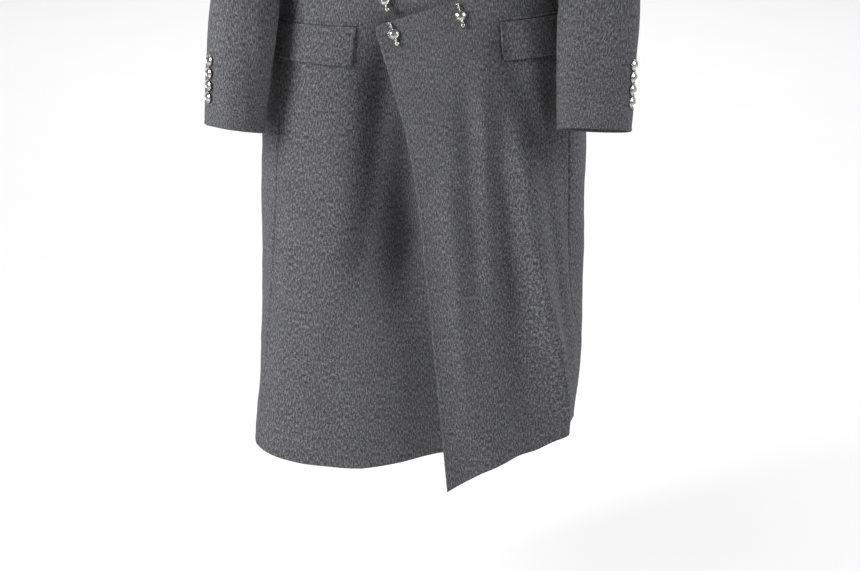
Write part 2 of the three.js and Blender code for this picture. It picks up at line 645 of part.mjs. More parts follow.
// The five points across the collar at a row of its table: seam, stand, fold, leaf and free edge.
function collarSection(row, side) {
  const onBody = (x, z, lift) => {
    const share = clamp((z - UNDERARM_Z) / (shoulderZ(x) - UNDERARM_Z), 0, 1);
    return onCoat(side, turnAt(signOf[side] * x, share, row.behind), share, lift);
  };
  const neckX = row.behind ? row.neckX : Math.abs(rollX(side, row.neckZ));
  const neck = onBody(neckX, row.neckZ, 0);
  const out = vec(neck.at.x, neck.at.y + 12, 0).normalize();
  const seam = neck.at.clone().addScaledVector(neck.normal, -row.inside);
  seam.addScaledVector(out, -row.beside);
  seam.z += 1.6;
  const fold = neck.at.clone().addScaledVector(out, row.lean);
  fold.z += row.stand + 3;
  const edge = onBody(row.edgeX, row.edgeZ, LEAF.lift).at;
  const leaf = fold.clone().lerp(edge, 0.3).addScaledVector(neck.normal, row.behind ? 0 : 3);
  leaf.addScaledVector(out, row.behind ? LEAF.bulge * 0.6 : 0);
  leaf.z += 3;
  return [seam, seam.clone().lerp(fold, 0.6), fold, leaf, edge];
}

function collarGrid() {
  const half = (side) => COLLAR.map((row) => collarSection(row, side));
  const sections = [...half("right").reverse(), ...half("left").slice(1)];
  const lines = sections[0].map((_, j) => new THREE.CatmullRomCurve3(sections.map((row) => row[j])));
  const points = Array.from({ length: COLLAR_ALONG + 1 }, (_, along) => {
    const across = lines.map((line) => line.getPoint(along / COLLAR_ALONG));
    return new THREE.CatmullRomCurve3(across).getPoints(COLLAR_ACROSS);
  });
  return withNormals(points);
}

// Points of a grid with the normals of the surface through them.
function withNormals(points) {
  return points.map((row, i) =>
    row.map((at, j) => {
      const along = points[Math.min(i + 1, points.length - 1)][j].clone().sub(points[Math.max(i - 1, 0)][j]);
      const across = row[Math.min(j + 1, row.length - 1)].clone().sub(row[Math.max(j - 1, 0)]);
      return { at, normal: across.cross(along).normalize() };
    }),
  );
}

const POCKET_COLUMNS = 8;

// The turn reached by walking round the form from a turn, away from the front, at one level.
function walk(side, turn, level, distance) {
  const step = 3;
  let at = turn;
  for (let gone = 0; gone < distance; gone += step) {
    const ahead = formPoint(at + 0.5 * signOf[side], level);
    const speed = ahead.distanceTo(formPoint(at, level)) / 0.5;
    at += (signOf[side] * Math.min(step, distance - gone)) / speed;
  }
  return at;
}

// A strip of cloth on the front, drawn as rows of equal columns. top and foot are its two long edges:
// the z of each at the inner end, and how much higher the outer end lies. swell is how much further
// the foot stands off than the top.
function pocketGrid(side, top, foot, inner, length, rows, swell = 0) {
  return Array.from({ length: rows + 1 }, (_, row) => {
    const down = row / rows;
    const z = lerp(top.z, foot.z, down);
    const from = turnAt(signOf[side] * inner(down), levelOf(z));
    return Array.from({ length: POCKET_COLUMNS + 1 }, (_, column) => {
      const along = column / POCKET_COLUMNS;
      const turn = walk(side, from, levelOf(z), length * along);
      const level = levelOf(z + lerp(top.rise, foot.rise, down) * along);
      return onCoat(side, turn, level, REST + CLOTH + swell * down);
    });
  });
}

// ---------------------------------------------------------------- metal pieces
const wasm = await Module();
wasm.setup();

function solidOf(geometry) {
  const plain = geometry.clone().deleteAttribute("normal").deleteAttribute("uv");
  const merged = mergeVertices(plain, 1e-4);
  return new wasm.Manifold(
    new wasm.Mesh({
      numProp: 3,
      vertProperties: merged.attributes.position.array,
      triVerts: new Uint32Array(merged.index.array),
    }),
  );
}

function joined(geometries) {
  const mesh = geometries.map(solidOf).reduce((all, next) => all.add(next)).getMesh();
  const geometry = new THREE.BufferGeometry();
  geometry.setAttribute("position", new THREE.BufferAttribute(mesh.vertProperties, 3));
  geometry.setIndex(new THREE.BufferAttribute(mesh.triVerts, 1));
  geometry.computeVertexNormals();
  return geometry;
}

// A bar pin, upright along Y, with its back towards -Z.
function pinGeometry() {
  const bar = new THREE.CylinderGeometry(PIN.bar, PIN.bar, PIN.above + PIN.below, 10);
  bar.translate(0, (PIN.above - PIN.below) / 2, 0);
  const bead = new THREE.SphereGeometry(PIN.bead, 12, 8).translate(0, PIN.above, 0);
  const ball = new THREE.SphereGeometry(PIN.ball, 14, 10).translate(0, -PIN.below, 0);
  const profile = [
    [0, -PIN.ball * 0.8],
    [PIN.bar * 1.5, -PIN.ball * 0.8],
    [PIN.bar * 1.4, -PIN.bar],
    [PIN.stud, -PIN.bar * 0.3],
    [PIN.stud, PIN.bar * 0.5],
    [PIN.stud * 0.6, PIN.dome * 0.85],
    [0, PIN.dome],
  ].map(([r, z]) => new THREE.Vector2(r, z));
  const stud = new THREE.LatheGeometry(profile, 20).rotateX(Math.PI / 2);
  return joined([bar, bead, ball, stud]);
}

// A cuff button: a flat back, a rolled edge and a low dome, turned round Z.
function buttonGeometry() {
  const { radius, edge, dome } = BUTTON;
  const profile = [
    [0, 0],
    [radius - 0.8, 0],
    [radius, edge * 0.7],
    [radius - 0.6, edge * 1.7],
    [radius - 1.9, edge * 1.3],
    [radius * 0.55, edge + dome * 0.8],
    [0, edge + dome],
  ].map(([r, z]) => new THREE.Vector2(r, z));
  return new THREE.LatheGeometry(profile, 16).rotateX(Math.PI / 2);
}

// ---------------------------------------------------------------- the scene graph
const wool = new THREE.MeshStandardMaterial({ color: 0x4d4e51, roughness: 0.95, metalness: 0 });
const metal = new THREE.MeshStandardMaterial({ color: 0xb9bbbe, roughness: 0.25, metalness: 1 });
const coat = new THREE.Group();

function addMesh(name, geometry, material) {
  const mesh = new THREE.Mesh(geometry, material);
  mesh.name = name;
  coat.add(mesh);
  return mesh;
}

// Turns a mesh so that its Z follows the normal and its Y is as near as it can be to `up`.
function setOn(mesh, { at, normal }, up, gap) {
  const across = up.clone().cross(normal).normalize();
  const along = normal.clone().cross(across);
  mesh.quaternion.setFromRotationMatrix(new THREE.Matrix4().makeBasis(across, along, normal));
  mesh.position.copy(at).addScaledVector(normal, gap);
}

for (const side of ["left", "right"]) {
  addMesh(`front_${side}`, clothWall(frontGrid(side)), wool);
  addMesh(`side_${side}`, clothWall(sideGrid(side)), wool);
  addMesh(`back_${side}`, clothWall(backGrid(side)), wool);
  const sleeve = sleeveMesh(side);
  const topGrid = sleeveGrid(sleeve, SLEEVE_BACK_SEAM, SLEEVE_FRONT_SEAM + sleeve.count);
  const underGrid = sleeveGrid(sleeve, SLEEVE_FRONT_SEAM, SLEEVE_BACK_SEAM);
  addMesh(`sleeve_top_${side}`, clothWall(topGrid), wool);
  addMesh(`sleeve_under_${side}`, clothWall(underGrid), wool);
  addMesh(`lapel_${side}`, clothWall(lapelGrid(side)), wool);
  const flap = FLAPS[side];
  const slanted = (down) => flap.inner + flap.slant * down;
  const top = { z: flap.top, rise: flap.topRise };
  const foot = { z: flap.top - flap.depth, rise: flap.footRise };
  addMesh(`pocket_flap_${side}`, clothWall(pocketGrid(side, top, foot, slanted, flap.length, 3, FLAP_SWELL)), wool);
  const jetFoot = { z: flap.top + JET_GAP, rise: flap.topRise };
  const jetTop = { z: flap.top + JET_GAP + flap.jet, rise: flap.jetRise };
  const straight = () => flap.inner;
  addMesh(`pocket_jet_${side}`, clothWall(pocketGrid(side, jetTop, jetFoot, straight, flap.length, 1)), wool);
  for (let number = 0; number < BUTTON.count; number++) {
    const mesh = addMesh(`cuff_button_${side}_${number + 1}`, buttonGeometry(), metal);
    setOn(mesh, cuffPlace(side, BUTTON.first + BUTTON.pitch * number), vec(0, 0, 1), BUTTON.gap);
  }
}

// A place on the outside of a sleeve, this far above the cuff, and its normal.
function cuffPlace(side, above) {
  const rings = ringsOf(side);
  const number = read(rings, "outZ", rings.at(-1).outZ + above, "number");
  const point = (step, degrees) => ringPoint(side, rings, number + step, BUTTON_TURN[side] + degrees);
  const around = point(0, 2).sub(point(0, -2));
  const normal = around.cross(point(0.1, 0).sub(point(-0.1, 0))).multiplyScalar(signOf[side]);
  return { at: point(0, 0), normal: normal.normalize() };
}

addMesh("collar", clothWall(collarGrid()), wool);

for (const [name, { side, x, z, lean: degrees, gap }] of Object.entries(PINS)) {
  const lean = degToRad(degrees);
  const mesh = addMesh(name, pinGeometry(), metal);
  setOn(mesh, onFront(side, x, z), vec(-Math.sin(lean), 0, Math.cos(lean)), PIN.ball + gap);
}

export default coat;
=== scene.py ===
# %% [markdown]
# # A double-breasted long coat in charcoal wool
# The coat hangs as it does when it is worn, filled out with nobody in it. Its solids come from the
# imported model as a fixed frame. Each cell below makes one piece, or one finish, of what is seen.

# %% The fixed frame
import json
import math

import bpy
import numpy as np
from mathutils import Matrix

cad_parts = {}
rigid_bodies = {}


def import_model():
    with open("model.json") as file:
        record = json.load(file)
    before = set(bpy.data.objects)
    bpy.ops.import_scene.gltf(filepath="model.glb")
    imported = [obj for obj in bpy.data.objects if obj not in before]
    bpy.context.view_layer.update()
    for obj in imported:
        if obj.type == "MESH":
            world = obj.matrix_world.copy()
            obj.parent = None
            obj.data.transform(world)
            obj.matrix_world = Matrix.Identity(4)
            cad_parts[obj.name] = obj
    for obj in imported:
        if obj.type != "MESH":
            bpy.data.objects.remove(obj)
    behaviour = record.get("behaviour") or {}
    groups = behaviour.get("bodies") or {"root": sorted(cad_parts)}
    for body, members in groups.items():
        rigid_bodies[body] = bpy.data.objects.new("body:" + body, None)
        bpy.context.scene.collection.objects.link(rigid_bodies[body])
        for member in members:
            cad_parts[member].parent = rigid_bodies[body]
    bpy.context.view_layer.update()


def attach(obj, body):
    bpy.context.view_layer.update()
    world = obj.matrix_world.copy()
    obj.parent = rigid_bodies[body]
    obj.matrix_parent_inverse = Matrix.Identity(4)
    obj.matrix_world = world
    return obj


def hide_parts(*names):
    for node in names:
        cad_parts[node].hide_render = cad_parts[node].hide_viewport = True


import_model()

MM = 0.001  # the tables below are in millimetres, and Blender's meshes are in metres


def new_object(name, data, at=(0, 0, 0), turn=(0, 0, 0)):
    """An object of the scene, at a place in metres and a turn in radians."""
    thing = bpy.data.objects.new(name, data)
    thing.location, thing.rotation_euler = at, turn
    bpy.context.scene.collection.objects.link(thing)
    return thing


# %% [markdown]
# ## Camera
# The view is from the front, at about the height of the shoulders, and looks down at the skirt of the
# coat, so that the frame holds everything from the pockets down. A long lens from three metres keeps
# the sides nearly parallel.

# %% The camera
CAMERA_AT = (0.010, -3.000, -0.060)
CAMERA_TILT = 16  # degrees below the horizon
CAMERA_LENS = 85.8  # millimetres, on the usual 36 mm sensor

lens = bpy.data.cameras.new("camera")
lens.lens, lens.clip_end = CAMERA_LENS, 60
bpy.context.scene.camera = new_object("camera", lens, CAMERA_AT, (math.radians(90 - CAMERA_TILT), 0, 0))

# %% [markdown]
# ## Tables and curves
# A tailor writes a pattern as a short list of measures. A table here has one row for each place and
# one named column for each measure. Between two rows a cubic runs smoothly and never overshoots.


# %% Reading a table
def table(columns, rows):
    """Rows of numbers as named columns, in rising order of the first one, which is the key."""
    rows = np.array(sorted(rows), float)
    return {"key": rows[:, 0]} | {name: rows[:, i] for i, name in enumerate(columns.split())}


def curve(rows, at, name):
    """A column of a table at any key: a cubic between two rows, whose slope at a row is the harmonic
    mean of the slopes on its two sides, or nothing where they have different signs."""
    x, y = rows["key"], rows[name]
    at = np.clip(at, x[0], x[-1])
    i = np.clip(np.searchsorted(x, at, side="right") - 1, 0, len(x) - 2)
    width = np.diff(x)
    rise = np.diff(y) / width
    before, after = rise[:-1], rise[1:]
    both = np.where(before * after > 0, before + after, 1)
    inner = np.where(before * after > 0, 2 * before * after / both, 0)
    slope = np.concatenate([rise[:1], inner, rise[-1:]])
    s = (at - x[i]) / width[i]
    level = y[i] * (1 + 2 * s) * (1 - s) ** 2 + y[i + 1] * s * s * (3 - 2 * s)
    return level + width[i] * s * (1 - s) * (slope[i] * (1 - s) - slope[i + 1] * s)


def step_up(value, low, high):
    """0 below low, 1 above high, and a smooth S between them."""
    s = np.clip((value - low) / (high - low), 0, 1)
    return s * s * (3 - 2 * s)


def mix(a, b, share):
    return a + (b - a) * share


def plateau(value, low, full, fall, high):
    """1 from full to fall, 0 below low and above high, and a smooth S on each side."""
    return step_up(value, low, full) * (1 - step_up(value, fall, high))


def bell(distance, width):
    """exp(-(distance / width)^2), which is 1 at no distance and nearly 0 at twice the width."""
    return np.exp(-((distance / width) ** 2))


# %% [markdown]
# ## The form
# The hollow that the coat keeps is a stack of rounded sections, from the hem to the underarm. Above
# the underarm the same section shrinks and tips over to the shoulder seam. A place on it is a turn,
# in degrees from the middle of the front towards the wearer's left, and a level: the height above the
# underarm as a share of the way to the shoulder seam, or below it the drop in millimetres.

# %% Sizes of the form
SIGN = {"left": 1, "right": -1}
UNDERARM_Z = -240
UNDERARM_DIP = 18
NECK_HALF = 75
NECK_DROP = 30
SHOULDER_HALF = 222
SHOULDER_DROP = 45
SHOULDER_Y = 5
SHOULDER_SPREAD = 24
AT_SEAM = 0.9995  # from this level up, a point lies on the shoulder seam
CLOSE_FRONT, CLOSE_BACK = (2.2, 0.8), (2.6, 0.7)  # powers of the closing towards the shoulder seam
SECTIONS = table("z right left front back square", [
    (-240, 214, 214, 128, 128, 2.4),
    (-430, 206, 206, 126, 120, 2.4),
    (-520, 224, 224, 138, 136, 2.5),
    (-600, 237, 237, 148, 148, 2.6),
    (-750, 241, 242, 156, 156, 2.7),
    (-900, 243, 242, 163, 163, 2.8),
    (-1000, 247, 241, 167, 167, 2.9),
    (-1100, 255, 232, 170, 170, 3.0),
    (-1200, 261, 226, 172, 172, 3.1),
])
SEAMS = table("z right left back", [
    (-240, 68, 68, 110),
    (-500, 65, 67, 112),
    (-675, 65, 67, 114),
    (-900, 68, 67, 115),
    (-1000, 70, 75, 115),
    (-1200, 73, 79, 115),
])


# %% A point of the form
def shoulder_z(x):
    """The shoulder seam falls in a straight line from the neck to the shoulder point."""
    return -SHOULDER_DROP * np.clip((np.abs(x) - NECK_HALF) / (SHOULDER_HALF - NECK_HALF), 0, 1)


def level_at(x, z):
    return np.where(z > UNDERARM_Z, (z - UNDERARM_Z) / (shoulder_z(x) - UNDERARM_Z), z - UNDERARM_Z)


def section(level):
    """Half-widths to the right and left, depths to the front and back, and the power of a section."""
    z = UNDERARM_Z + np.minimum(level, 0)
    spread = SHOULDER_SPREAD * np.clip(level, 0, 1)
    right, left = (curve(SECTIONS, z, side) + spread for side in ("right", "left"))
    return z, right, left, *(curve(SECTIONS, z, name) for name in ("front", "back", "square"))


def form_point(turn, level):
    """In a direction (sin, cos) the radius is (|sin / half|^p + |cos / depth|^p)^(-1/p), where p is 2
    for an ellipse and more for a squarer section. Above the underarm y closes on the shoulder seam, as
    (1 - level^a)^b."""
    turn, level = np.broadcast_arrays(np.asarray(turn, float), np.asarray(level, float))
    z, right, left, front, back, power = section(level)
    sin, cos = np.sin(np.radians(turn)), np.cos(np.radians(turn))
    half, depth = np.where(sin < 0, right, left), np.where(cos > 0, front, back)
    radius = (np.abs(sin / half) ** power + np.abs(cos / depth) ** power) ** (-1 / power)
    x, t = radius * sin, np.clip(level, 0, 1)
    closing = np.where(cos > 0, *((1 - t**inner) ** outer for inner, outer in (CLOSE_FRONT, CLOSE_BACK)))
    y = mix(SHOULDER_Y, -radius * cos, closing)
    return np.stack([x, y, z + t * (shoulder_z(x) - z)], -1)


def unit(vectors):
    return vectors / np.maximum(np.linalg.norm(vectors, axis=-1, keepdims=True), 1e-9)


def form_normal(turn, level):
    """The cross product of the form's two directions, and at the shoulder seam the seam's own normal."""
    turn, level = np.broadcast_arrays(np.asarray(turn, float), np.asarray(level, float))
    step = np.where(level > 0, 0.004, 0.5)
    across = form_point(turn + 0.4, level) - form_point(turn - 0.4, level)
    up = form_point(turn, np.minimum(level + step, 1)) - form_point(turn, level - step)
    x = form_point(turn, level)[..., 0]
    slope = (shoulder_z(x - 1) - shoulder_z(x + 1)) / 2
    seam = np.stack([slope, np.zeros_like(slope), np.ones_like(slope)], -1)
    return unit(np.where((level > AT_SEAM)[..., None], seam, np.cross(across, up)))


def turn_at(x, level, behind=False):
    """The direction of a section's point at this x, on its front or behind."""
    _, right, left, front, back, power = section(np.asarray(level, float))
    share = np.minimum(np.abs(x) / np.where(np.asarray(x) < 0, right, left), 0.999)
    depth = (-back if behind else front) * (1 - share**power) ** (1 / power)
    return np.degrees(np.arctan2(x, depth))


# %% [markdown]
# ## Folds
# Heavy wool falls in a few long soft folds. Each is a ridge or a trough with a bell-shaped section
# that fades in at its top and out at its foot. Under them lies a very low swell, because no hung cloth
# is quite even. The hidden sides have folds of their own.

# %% The fold table
# on, turn and z at the top, turn and z at the foot, half-width, and height (less than 0 for a trough)
FOLDS = [
    ("left", 40, -500, 63, -1230, 18, 15),
    ("left", 57, -480, 71, -1000, 24, -8),
    ("left", 33, -520, 45, -1300, 22, -8),
    ("left", 29, -520, 32, -960, 15, 5),
    ("left", 10, -620, 24, -1150, 18, 6),
    ("left", -24, -400, 36, -1500, 44, -8),
    ("right", -24, -450, 18, -960, 86, -32),
    ("right", -9, -600, 32, -1600, 84, -28),
    ("right", -22, -490, -35, -960, 20, -5),
    ("back", 146, -480, 139, -1500, 32, -8),
    ("back", 162, -560, 160, -1500, 24, 4),
    ("back", -152, -520, -147, -1500, 34, -9),
    ("back", -130, -600, -126, -1280, 26, 5),
]
# The same for creases of the visible cloth alone, which the solids don't have. Most are low, and five
# are more than 7 mm high or deep.
CREASES = [
    ("left", 41, -600, 55, -1080, 9, 4.4),
    ("left", 50, -580, 63, -1000, 10, -3.0),
    ("left", 42, -470, 46, -720, 22, -12.0),
    ("left", 34, -640, 46, -1100, 10, -2.4),
    ("left", 44, -760, 66, -1200, 12, 11.0),
    ("left", 22, -520, 27, -960, 15, -7.5),
    ("left", 12, -660, 21, -1090, 9, 2.2),
    ("left", 29, -560, 31, -800, 8, 1.0),
    ("left", -8, -540, 2, -760, 16, 1.1),
    ("left", 60, -700, 68, -1080, 12, 1.6),
    ("right", -20, -430, -27, -980, 30, -9.0),
    ("right", -7, -430, -8, -980, 36, -18.0),
    ("right", -20, -520, -33, -900, 16, -2.2),
    ("right", -58, -640, -63, -1150, 12, 1.2),
    ("right", -38, -800, -42, -1400, 18, -1.6),
    ("back", 172, -420, 176, -900, 16, -2.0),
    ("back", -170, -700, -166, -1400, 20, 2.4),
    ("back", 128, -520, 122, -1050, 14, -2.2),
    ("back", -118, -480, -112, -980, 15, 2.0),
    ("back", 104, -560, 98, -1300, 16, 2.4),
    ("back", -96, -640, -88, -1300, 16, -2.2),
    ("back", 86, -700, 80, -1250, 13, -1.8),
    ("back", 150, -330, 120, -420, 12, -2.2),
    ("back", -150, -320, -122, -430, 12, -2.4),
]
SWELL = [  # height in millimetres, and waves per metre along X, Y and Z
    (0.55, 3.1, 2.3, 4.7),
    (0.50, -5.3, 4.1, 2.9),
    (0.30, 9.7, -6.1, 7.9),
    (0.22, -12.9, 11.3, -9.1),
    (0.12, 21.7, 17.9, 25.3),
    (0.10, -29.3, 23.1, 19.7),
]


# %% The height of the folds
def swell(point, phase):
    """A sum of low sine waves through space, each started by its own phase."""
    return sum(height * np.sin(2 * math.pi * point @ np.array(waves) * MM + phase * height)
               for height, *waves in SWELL)


def fold_height(side, turn, point):
    """The sum over the folds of height * fade * bell(distance from its line, half-width), and the swell."""
    out = swell(point, 7)
    reach = np.hypot(point[..., 0], point[..., 1])
    for on, top_turn, top_z, foot_turn, foot_z, width, height in FOLDS + CREASES:
        if on in ("back", side):
            down = (top_z - point[..., 2]) / (top_z - foot_z)
            apart = (turn - mix(top_turn, foot_turn, down) + 540) % 360 - 180
            out += height * plateau(down, 0, 0.3, 0.7, 1) * bell(np.radians(apart) * reach, width)
    return out


# %% [markdown]
# ## From the form to the cloth
# A piece of cloth follows the form, its folds and, on the left front, the stand of the lap: below the
# crossing that front lies over the other one, so it has to stand off far enough to clear it.

# %% Points on the coat
# how far the left front stands off at a height
LAP_STAND = table("z off", [(-380, 1), (-468, 4.5), (-520, 5), (-800, 13), (-1050, 16), (-1190, 22)])
LAP_FADE = 84, 165  # the x from which that fades, and where it has gone
SEAM = 0.3  # between two pieces at the shoulder


def on_coat(side, turn, level, lift=0.0):
    """Points on the outside of the coat and their normals, moved out by a lift."""
    turn, level = np.broadcast_arrays(np.asarray(turn, float), np.asarray(level, float))
    bare, normal = form_point(turn, level), form_normal(turn, level)
    front = np.abs(turn) < 90
    out = fold_height(side, turn, bare) + lift
    if side == "left":
        stand = curve(LAP_STAND, bare[..., 2], "off") * (1 - step_up(bare[..., 0], *LAP_FADE))
        out = out + np.where(front, stand, 0)
    bare[..., 1] += np.where(level > AT_SEAM, np.where(front, -SEAM, SEAM) / 2, 0)
    return bare + normal * out[..., None], normal


def on_front(side, x, z, lift=0.0):
    """The same at an x and z of the front."""
    level = level_at(x, z)
    return on_coat(side, turn_at(x, level), level, lift)


point, _ = on_front("left", np.array([0.0]), np.array([-800.0]))
print("the lap at its middle stands", round(-point[0, 1], 1), "mm in front of the body's middle")

# %% [markdown]
# ## Meshes from arrays
# Every piece below is worked out as whole arrays of points. One helper puts such an array into a
# Blender mesh, which is far faster than adding points one by one.


# %% Putting arrays into a mesh
def signed_volume(points, faces):
    """The sum over the triangles of a . (b x c) / 6, which is above 0 where the faces point out."""
    total = 0.0
    for face in faces:
        for k in range(1, face.shape[1] - 1):
            a, b, c = points[face[:, 0]], points[face[:, k]], points[face[:, k + 1]]
            total += np.einsum("ij,ij->", a, np.cross(b, c)) / 6
    return total


def make_mesh(name, points, faces, uv, material):
    """A smooth mesh object at the origin, from points in millimetres and arrays of equal faces."""
    if signed_volume(points, faces) < 0:
        faces = [face[:, ::-1] for face in faces]
    corners = np.concatenate([face.ravel() for face in faces])
    sizes = np.concatenate([np.full(len(face), face.shape[1]) for face in faces])
    mesh = bpy.data.meshes.new(name)
    mesh.vertices.add(len(points))
    mesh.vertices.foreach_set("co", (points * MM).ravel())
    mesh.loops.add(len(corners))
    mesh.loops.foreach_set("vertex_index", corners.astype(np.int32))
    mesh.polygons.add(len(sizes))
    mesh.polygons.foreach_set("loop_start", (np.cumsum(sizes) - sizes).astype(np.int32))
    mesh.polygons.foreach_set("use_smooth", np.ones(len(sizes), bool))
    mesh.uv_layers.new(name="cloth").data.foreach_set("uv", (uv[corners] * MM).ravel())
    mesh.update(calc_edges=True)
    mesh.validate()
    mesh.materials.append(material)
    return new_object(name, mesh)


# %% [markdown]
# ## A wall of cloth
# Heavy wool is a sheet with two faces and a thickness. Its outer face is a grid of points, each moved
# along its normal by a relief, and its inner face lies a thickness below. Strips close the free edges.


# %% A wall under a grid
CLOTH = 2.4  # thickness
REST = 1.1  # under a piece that lies on another
GAP = 0.03  # between two pieces at a seam, on each side of it


def cloth_wall(name, points, normals, uv, material, relief, inset, here=None):
    """Outside = point + normal * relief, inside = point - normal * inset, and a strip along each
    edge that has a cell on one side only. Where `here` is false the grid has no cloth."""
    here = np.ones(points.shape[:2], bool) if here is None else here
    relief, inset = (np.broadcast_to(v, here.shape)[here][:, None] for v in (relief, inset))
    number = np.full(here.shape, -1)
    number[here] = np.arange(here.sum())
    count = int(here.sum())
    cells = np.stack([number[:-1, :-1], number[1:, :-1], number[1:, 1:], number[:-1, 1:]], -1)
    cells = cells[(cells >= 0).all(-1)]
    start, end = cells, np.roll(cells, -1, axis=1)
    forward, backward = (start * count + end).ravel(), (end * count + start).ravel()
    free = ~np.isin(backward, forward)
    a, b = start.ravel()[free], end.ravel()[free]
    strip = np.stack([b, a, a + count, b + count], -1)
    outside = points[here] + normals[here] * relief
    inside = points[here] - normals[here] * inset
    faces = [np.concatenate([cells, cells[:, ::-1] + count, strip])]
    print(f"{name}: {2 * len(faces[0])} triangles")
    return make_mesh(name, np.concatenate([outside, inside]), faces, np.tile(uv[here], (2, 1)), material)


# %% [markdown]
# ## Edges and seams
# The eye reads cloth by its edges. A turned edge is doubled, so it is thicker and rounded, with the
# faint line of its stitches some millimetres in. A pressed seam is a fine valley between two soft
# banks, which its stitches draw in a little unevenly. Both are functions of the distance from the
# edge, and the grid lines are packed closely there, so that the curve is smooth.

# %% Grid lines
EDGE_STEPS = np.array([0, 0.35, 0.9, 1.7, 2.8, 4.2, 5.6, 6.8, 8.0, 10.0])


def stations(length, count, first=True, last=True):
    """Distances along lines of these lengths, as shares of them: the edge steps at an end that is an
    edge, and even steps between. Short lines have their edge steps shrunk to fit."""
    length = np.atleast_1d(np.asarray(length, float))[:, None]
    head = EDGE_STEPS if first else EDGE_STEPS[:1]
    tail = EDGE_STEPS if last else EDGE_STEPS[:1]
    fit = np.minimum(1, length / (head[-1] + tail[-1] + 5))
    middle = length - (head[-1] + tail[-1]) * fit
    even = head[-1] * fit + middle * np.arange(1, count) / count
    return np.concatenate([head * fit, even, length - tail[::-1] * fit], 1) / length


def from_edge(points):
    """How far each point is from the first row: its length along the column times the sine of the
    angle between the column and that row."""
    steps = np.linalg.norm(np.diff(points, axis=0), axis=-1)
    along = np.concatenate([np.zeros((1, points.shape[1])), np.cumsum(steps, 0)])
    k = min(6, len(points) - 1)
    leaving = unit(points[k] - points[0])
    edge = unit(np.gradient(points[0], axis=0))
    return along * np.linalg.norm(np.cross(leaving, edge), axis=-1)


def from_sides(points):
    """The same from the top, the foot, and the first and the last column of a grid."""
    turned = points.swapaxes(0, 1)
    top, foot = from_edge(points), from_edge(points[::-1])[::-1]
    return top, foot, from_edge(turned).T, from_edge(turned[::-1])[::-1].T


# %% Their profiles
def quarter(distance, radius):
    """How far a quarter circle has dropped at a distance from its edge."""
    return radius * (1 - np.sqrt(1 - np.clip(1 - distance / radius, 0, 1) ** 2))


def turned_edge(distance, thick=3.5, line=6.8):
    """Relief and inset of a turned edge: rounded on both faces, thicker up to its line of stitches,
    which is a shallow groove bell(distance from the line, 0.95)."""
    round_off = quarter(distance, thick * 0.49)
    puff, groove = 0.45 * bell(distance - line / 2, 2.6), 0.42 * bell(distance - line, 0.95)
    double = (thick - CLOTH) * (1 - step_up(distance, line, line + 6))
    return puff - groove - round_off, CLOTH + double - round_off


def seam_edge(distance, along, depth=1.5):
    """Relief of a pressed seam: a valley bell(distance, 1.1), a bank to each side as wide as the
    turnings under it, and a slow unevenness along it that dies away from it."""
    bank = 0.4 * plateau(distance, 0.5, 4, 8, 13)
    draw = 0.5 + 0.3 * np.sin(along * 0.21) + 0.2 * np.sin(along * 0.53 + 1.7)
    return bank - depth * bell(distance, 1.1) - 0.5 * draw * bell(distance, 6)


def rounded(a, b, radius):
    """Moves points near a square corner, at distances a and b from its sides, into a rounded one: with
    p and q counted from the corner's centre, p becomes p * sqrt(1 - q^2 / 2) and q likewise."""
    p, q = np.clip(1 - a / radius, 0, None), np.clip(1 - b / radius, 0, None)
    near = (p > 0) & (q > 0)
    p, q = (one * np.sqrt(1 - np.minimum(other, 1) ** 2 / 2) for one, other in ((p, q), (q, p)))
    distance = np.where(near, radius * (1 - np.hypot(p, q)), np.minimum(a, b))
    return np.where(near, radius * (1 - p), a), np.where(near, radius * (1 - q), b), distance


# %% [markdown]
# ## Wool
# The cloth is a melange: dark and light fibres are mixed before they are spun, and the finished cloth
# is brushed, so it shows short soft streaks that run down the cloth and no weave. One node group
# makes that mottle from the cloth's own UV map, so it follows each piece as it was cut. The group
# gives a colour share, a height and a roughness, and the shader stays in the material.


# %% Helpers for node trees
def plug(tree, node, inputs):
    """Gives a node values or links for its named or numbered inputs."""
    for name, value in inputs.items():
        if isinstance(value, bpy.types.NodeSocket):
            tree.links.new(value, node.inputs[name])
        else:
            node.inputs[name].default_value = value


def add_node(tree, kind, inputs, **settings):
    node = tree.nodes.new(kind)
    for name, value in settings.items():
        setattr(node, name, value)
    plug(tree, node, inputs)
    return node


def math_node(tree, operation, *values):
    return add_node(tree, "ShaderNodeMath", dict(enumerate(values)), operation=operation).outputs[0]


def noise(tree, vector, scale, detail, rough=0.5, warp=0.0, **settings):
    inputs = {"Vector": vector, "Scale": scale, "Detail": detail, "Roughness": rough, "Distortion": warp}
    return add_node(tree, "ShaderNodeTexNoise", inputs, **settings).outputs[0]


def stretched(tree, vector, scale):
    return add_node(tree, "ShaderNodeMapping", {"Vector": vector, "Scale": scale}).outputs[0]


def ramp(tree, share, *stops):
    """A colour ramp through stops, each a place and a colour."""
    node = add_node(tree, "ShaderNodeValToRGB", {"Fac": share})
    marks = node.color_ramp.elements
    for mark, (place, colour) in zip(list(marks), (stops[0], stops[-1])):
        mark.position, mark.color = place, (*colour, 1)
    for place, colour in stops[1:-1]:
        marks.new(place).color = (*colour, 1)
    return node.outputs[0]


def bump(tree, height, strength, distance):
    inputs = {"Height": height, "Strength": strength, "Distance": distance}
    return add_node(tree, "ShaderNodeBump", inputs).outputs[0]


def new_material(name):
    """A material with its node tree and its Principled shader."""
    material = bpy.data.materials.new(name)
    material.use_nodes = True
    return material, material.node_tree, material.node_tree.nodes["Principled BSDF"]


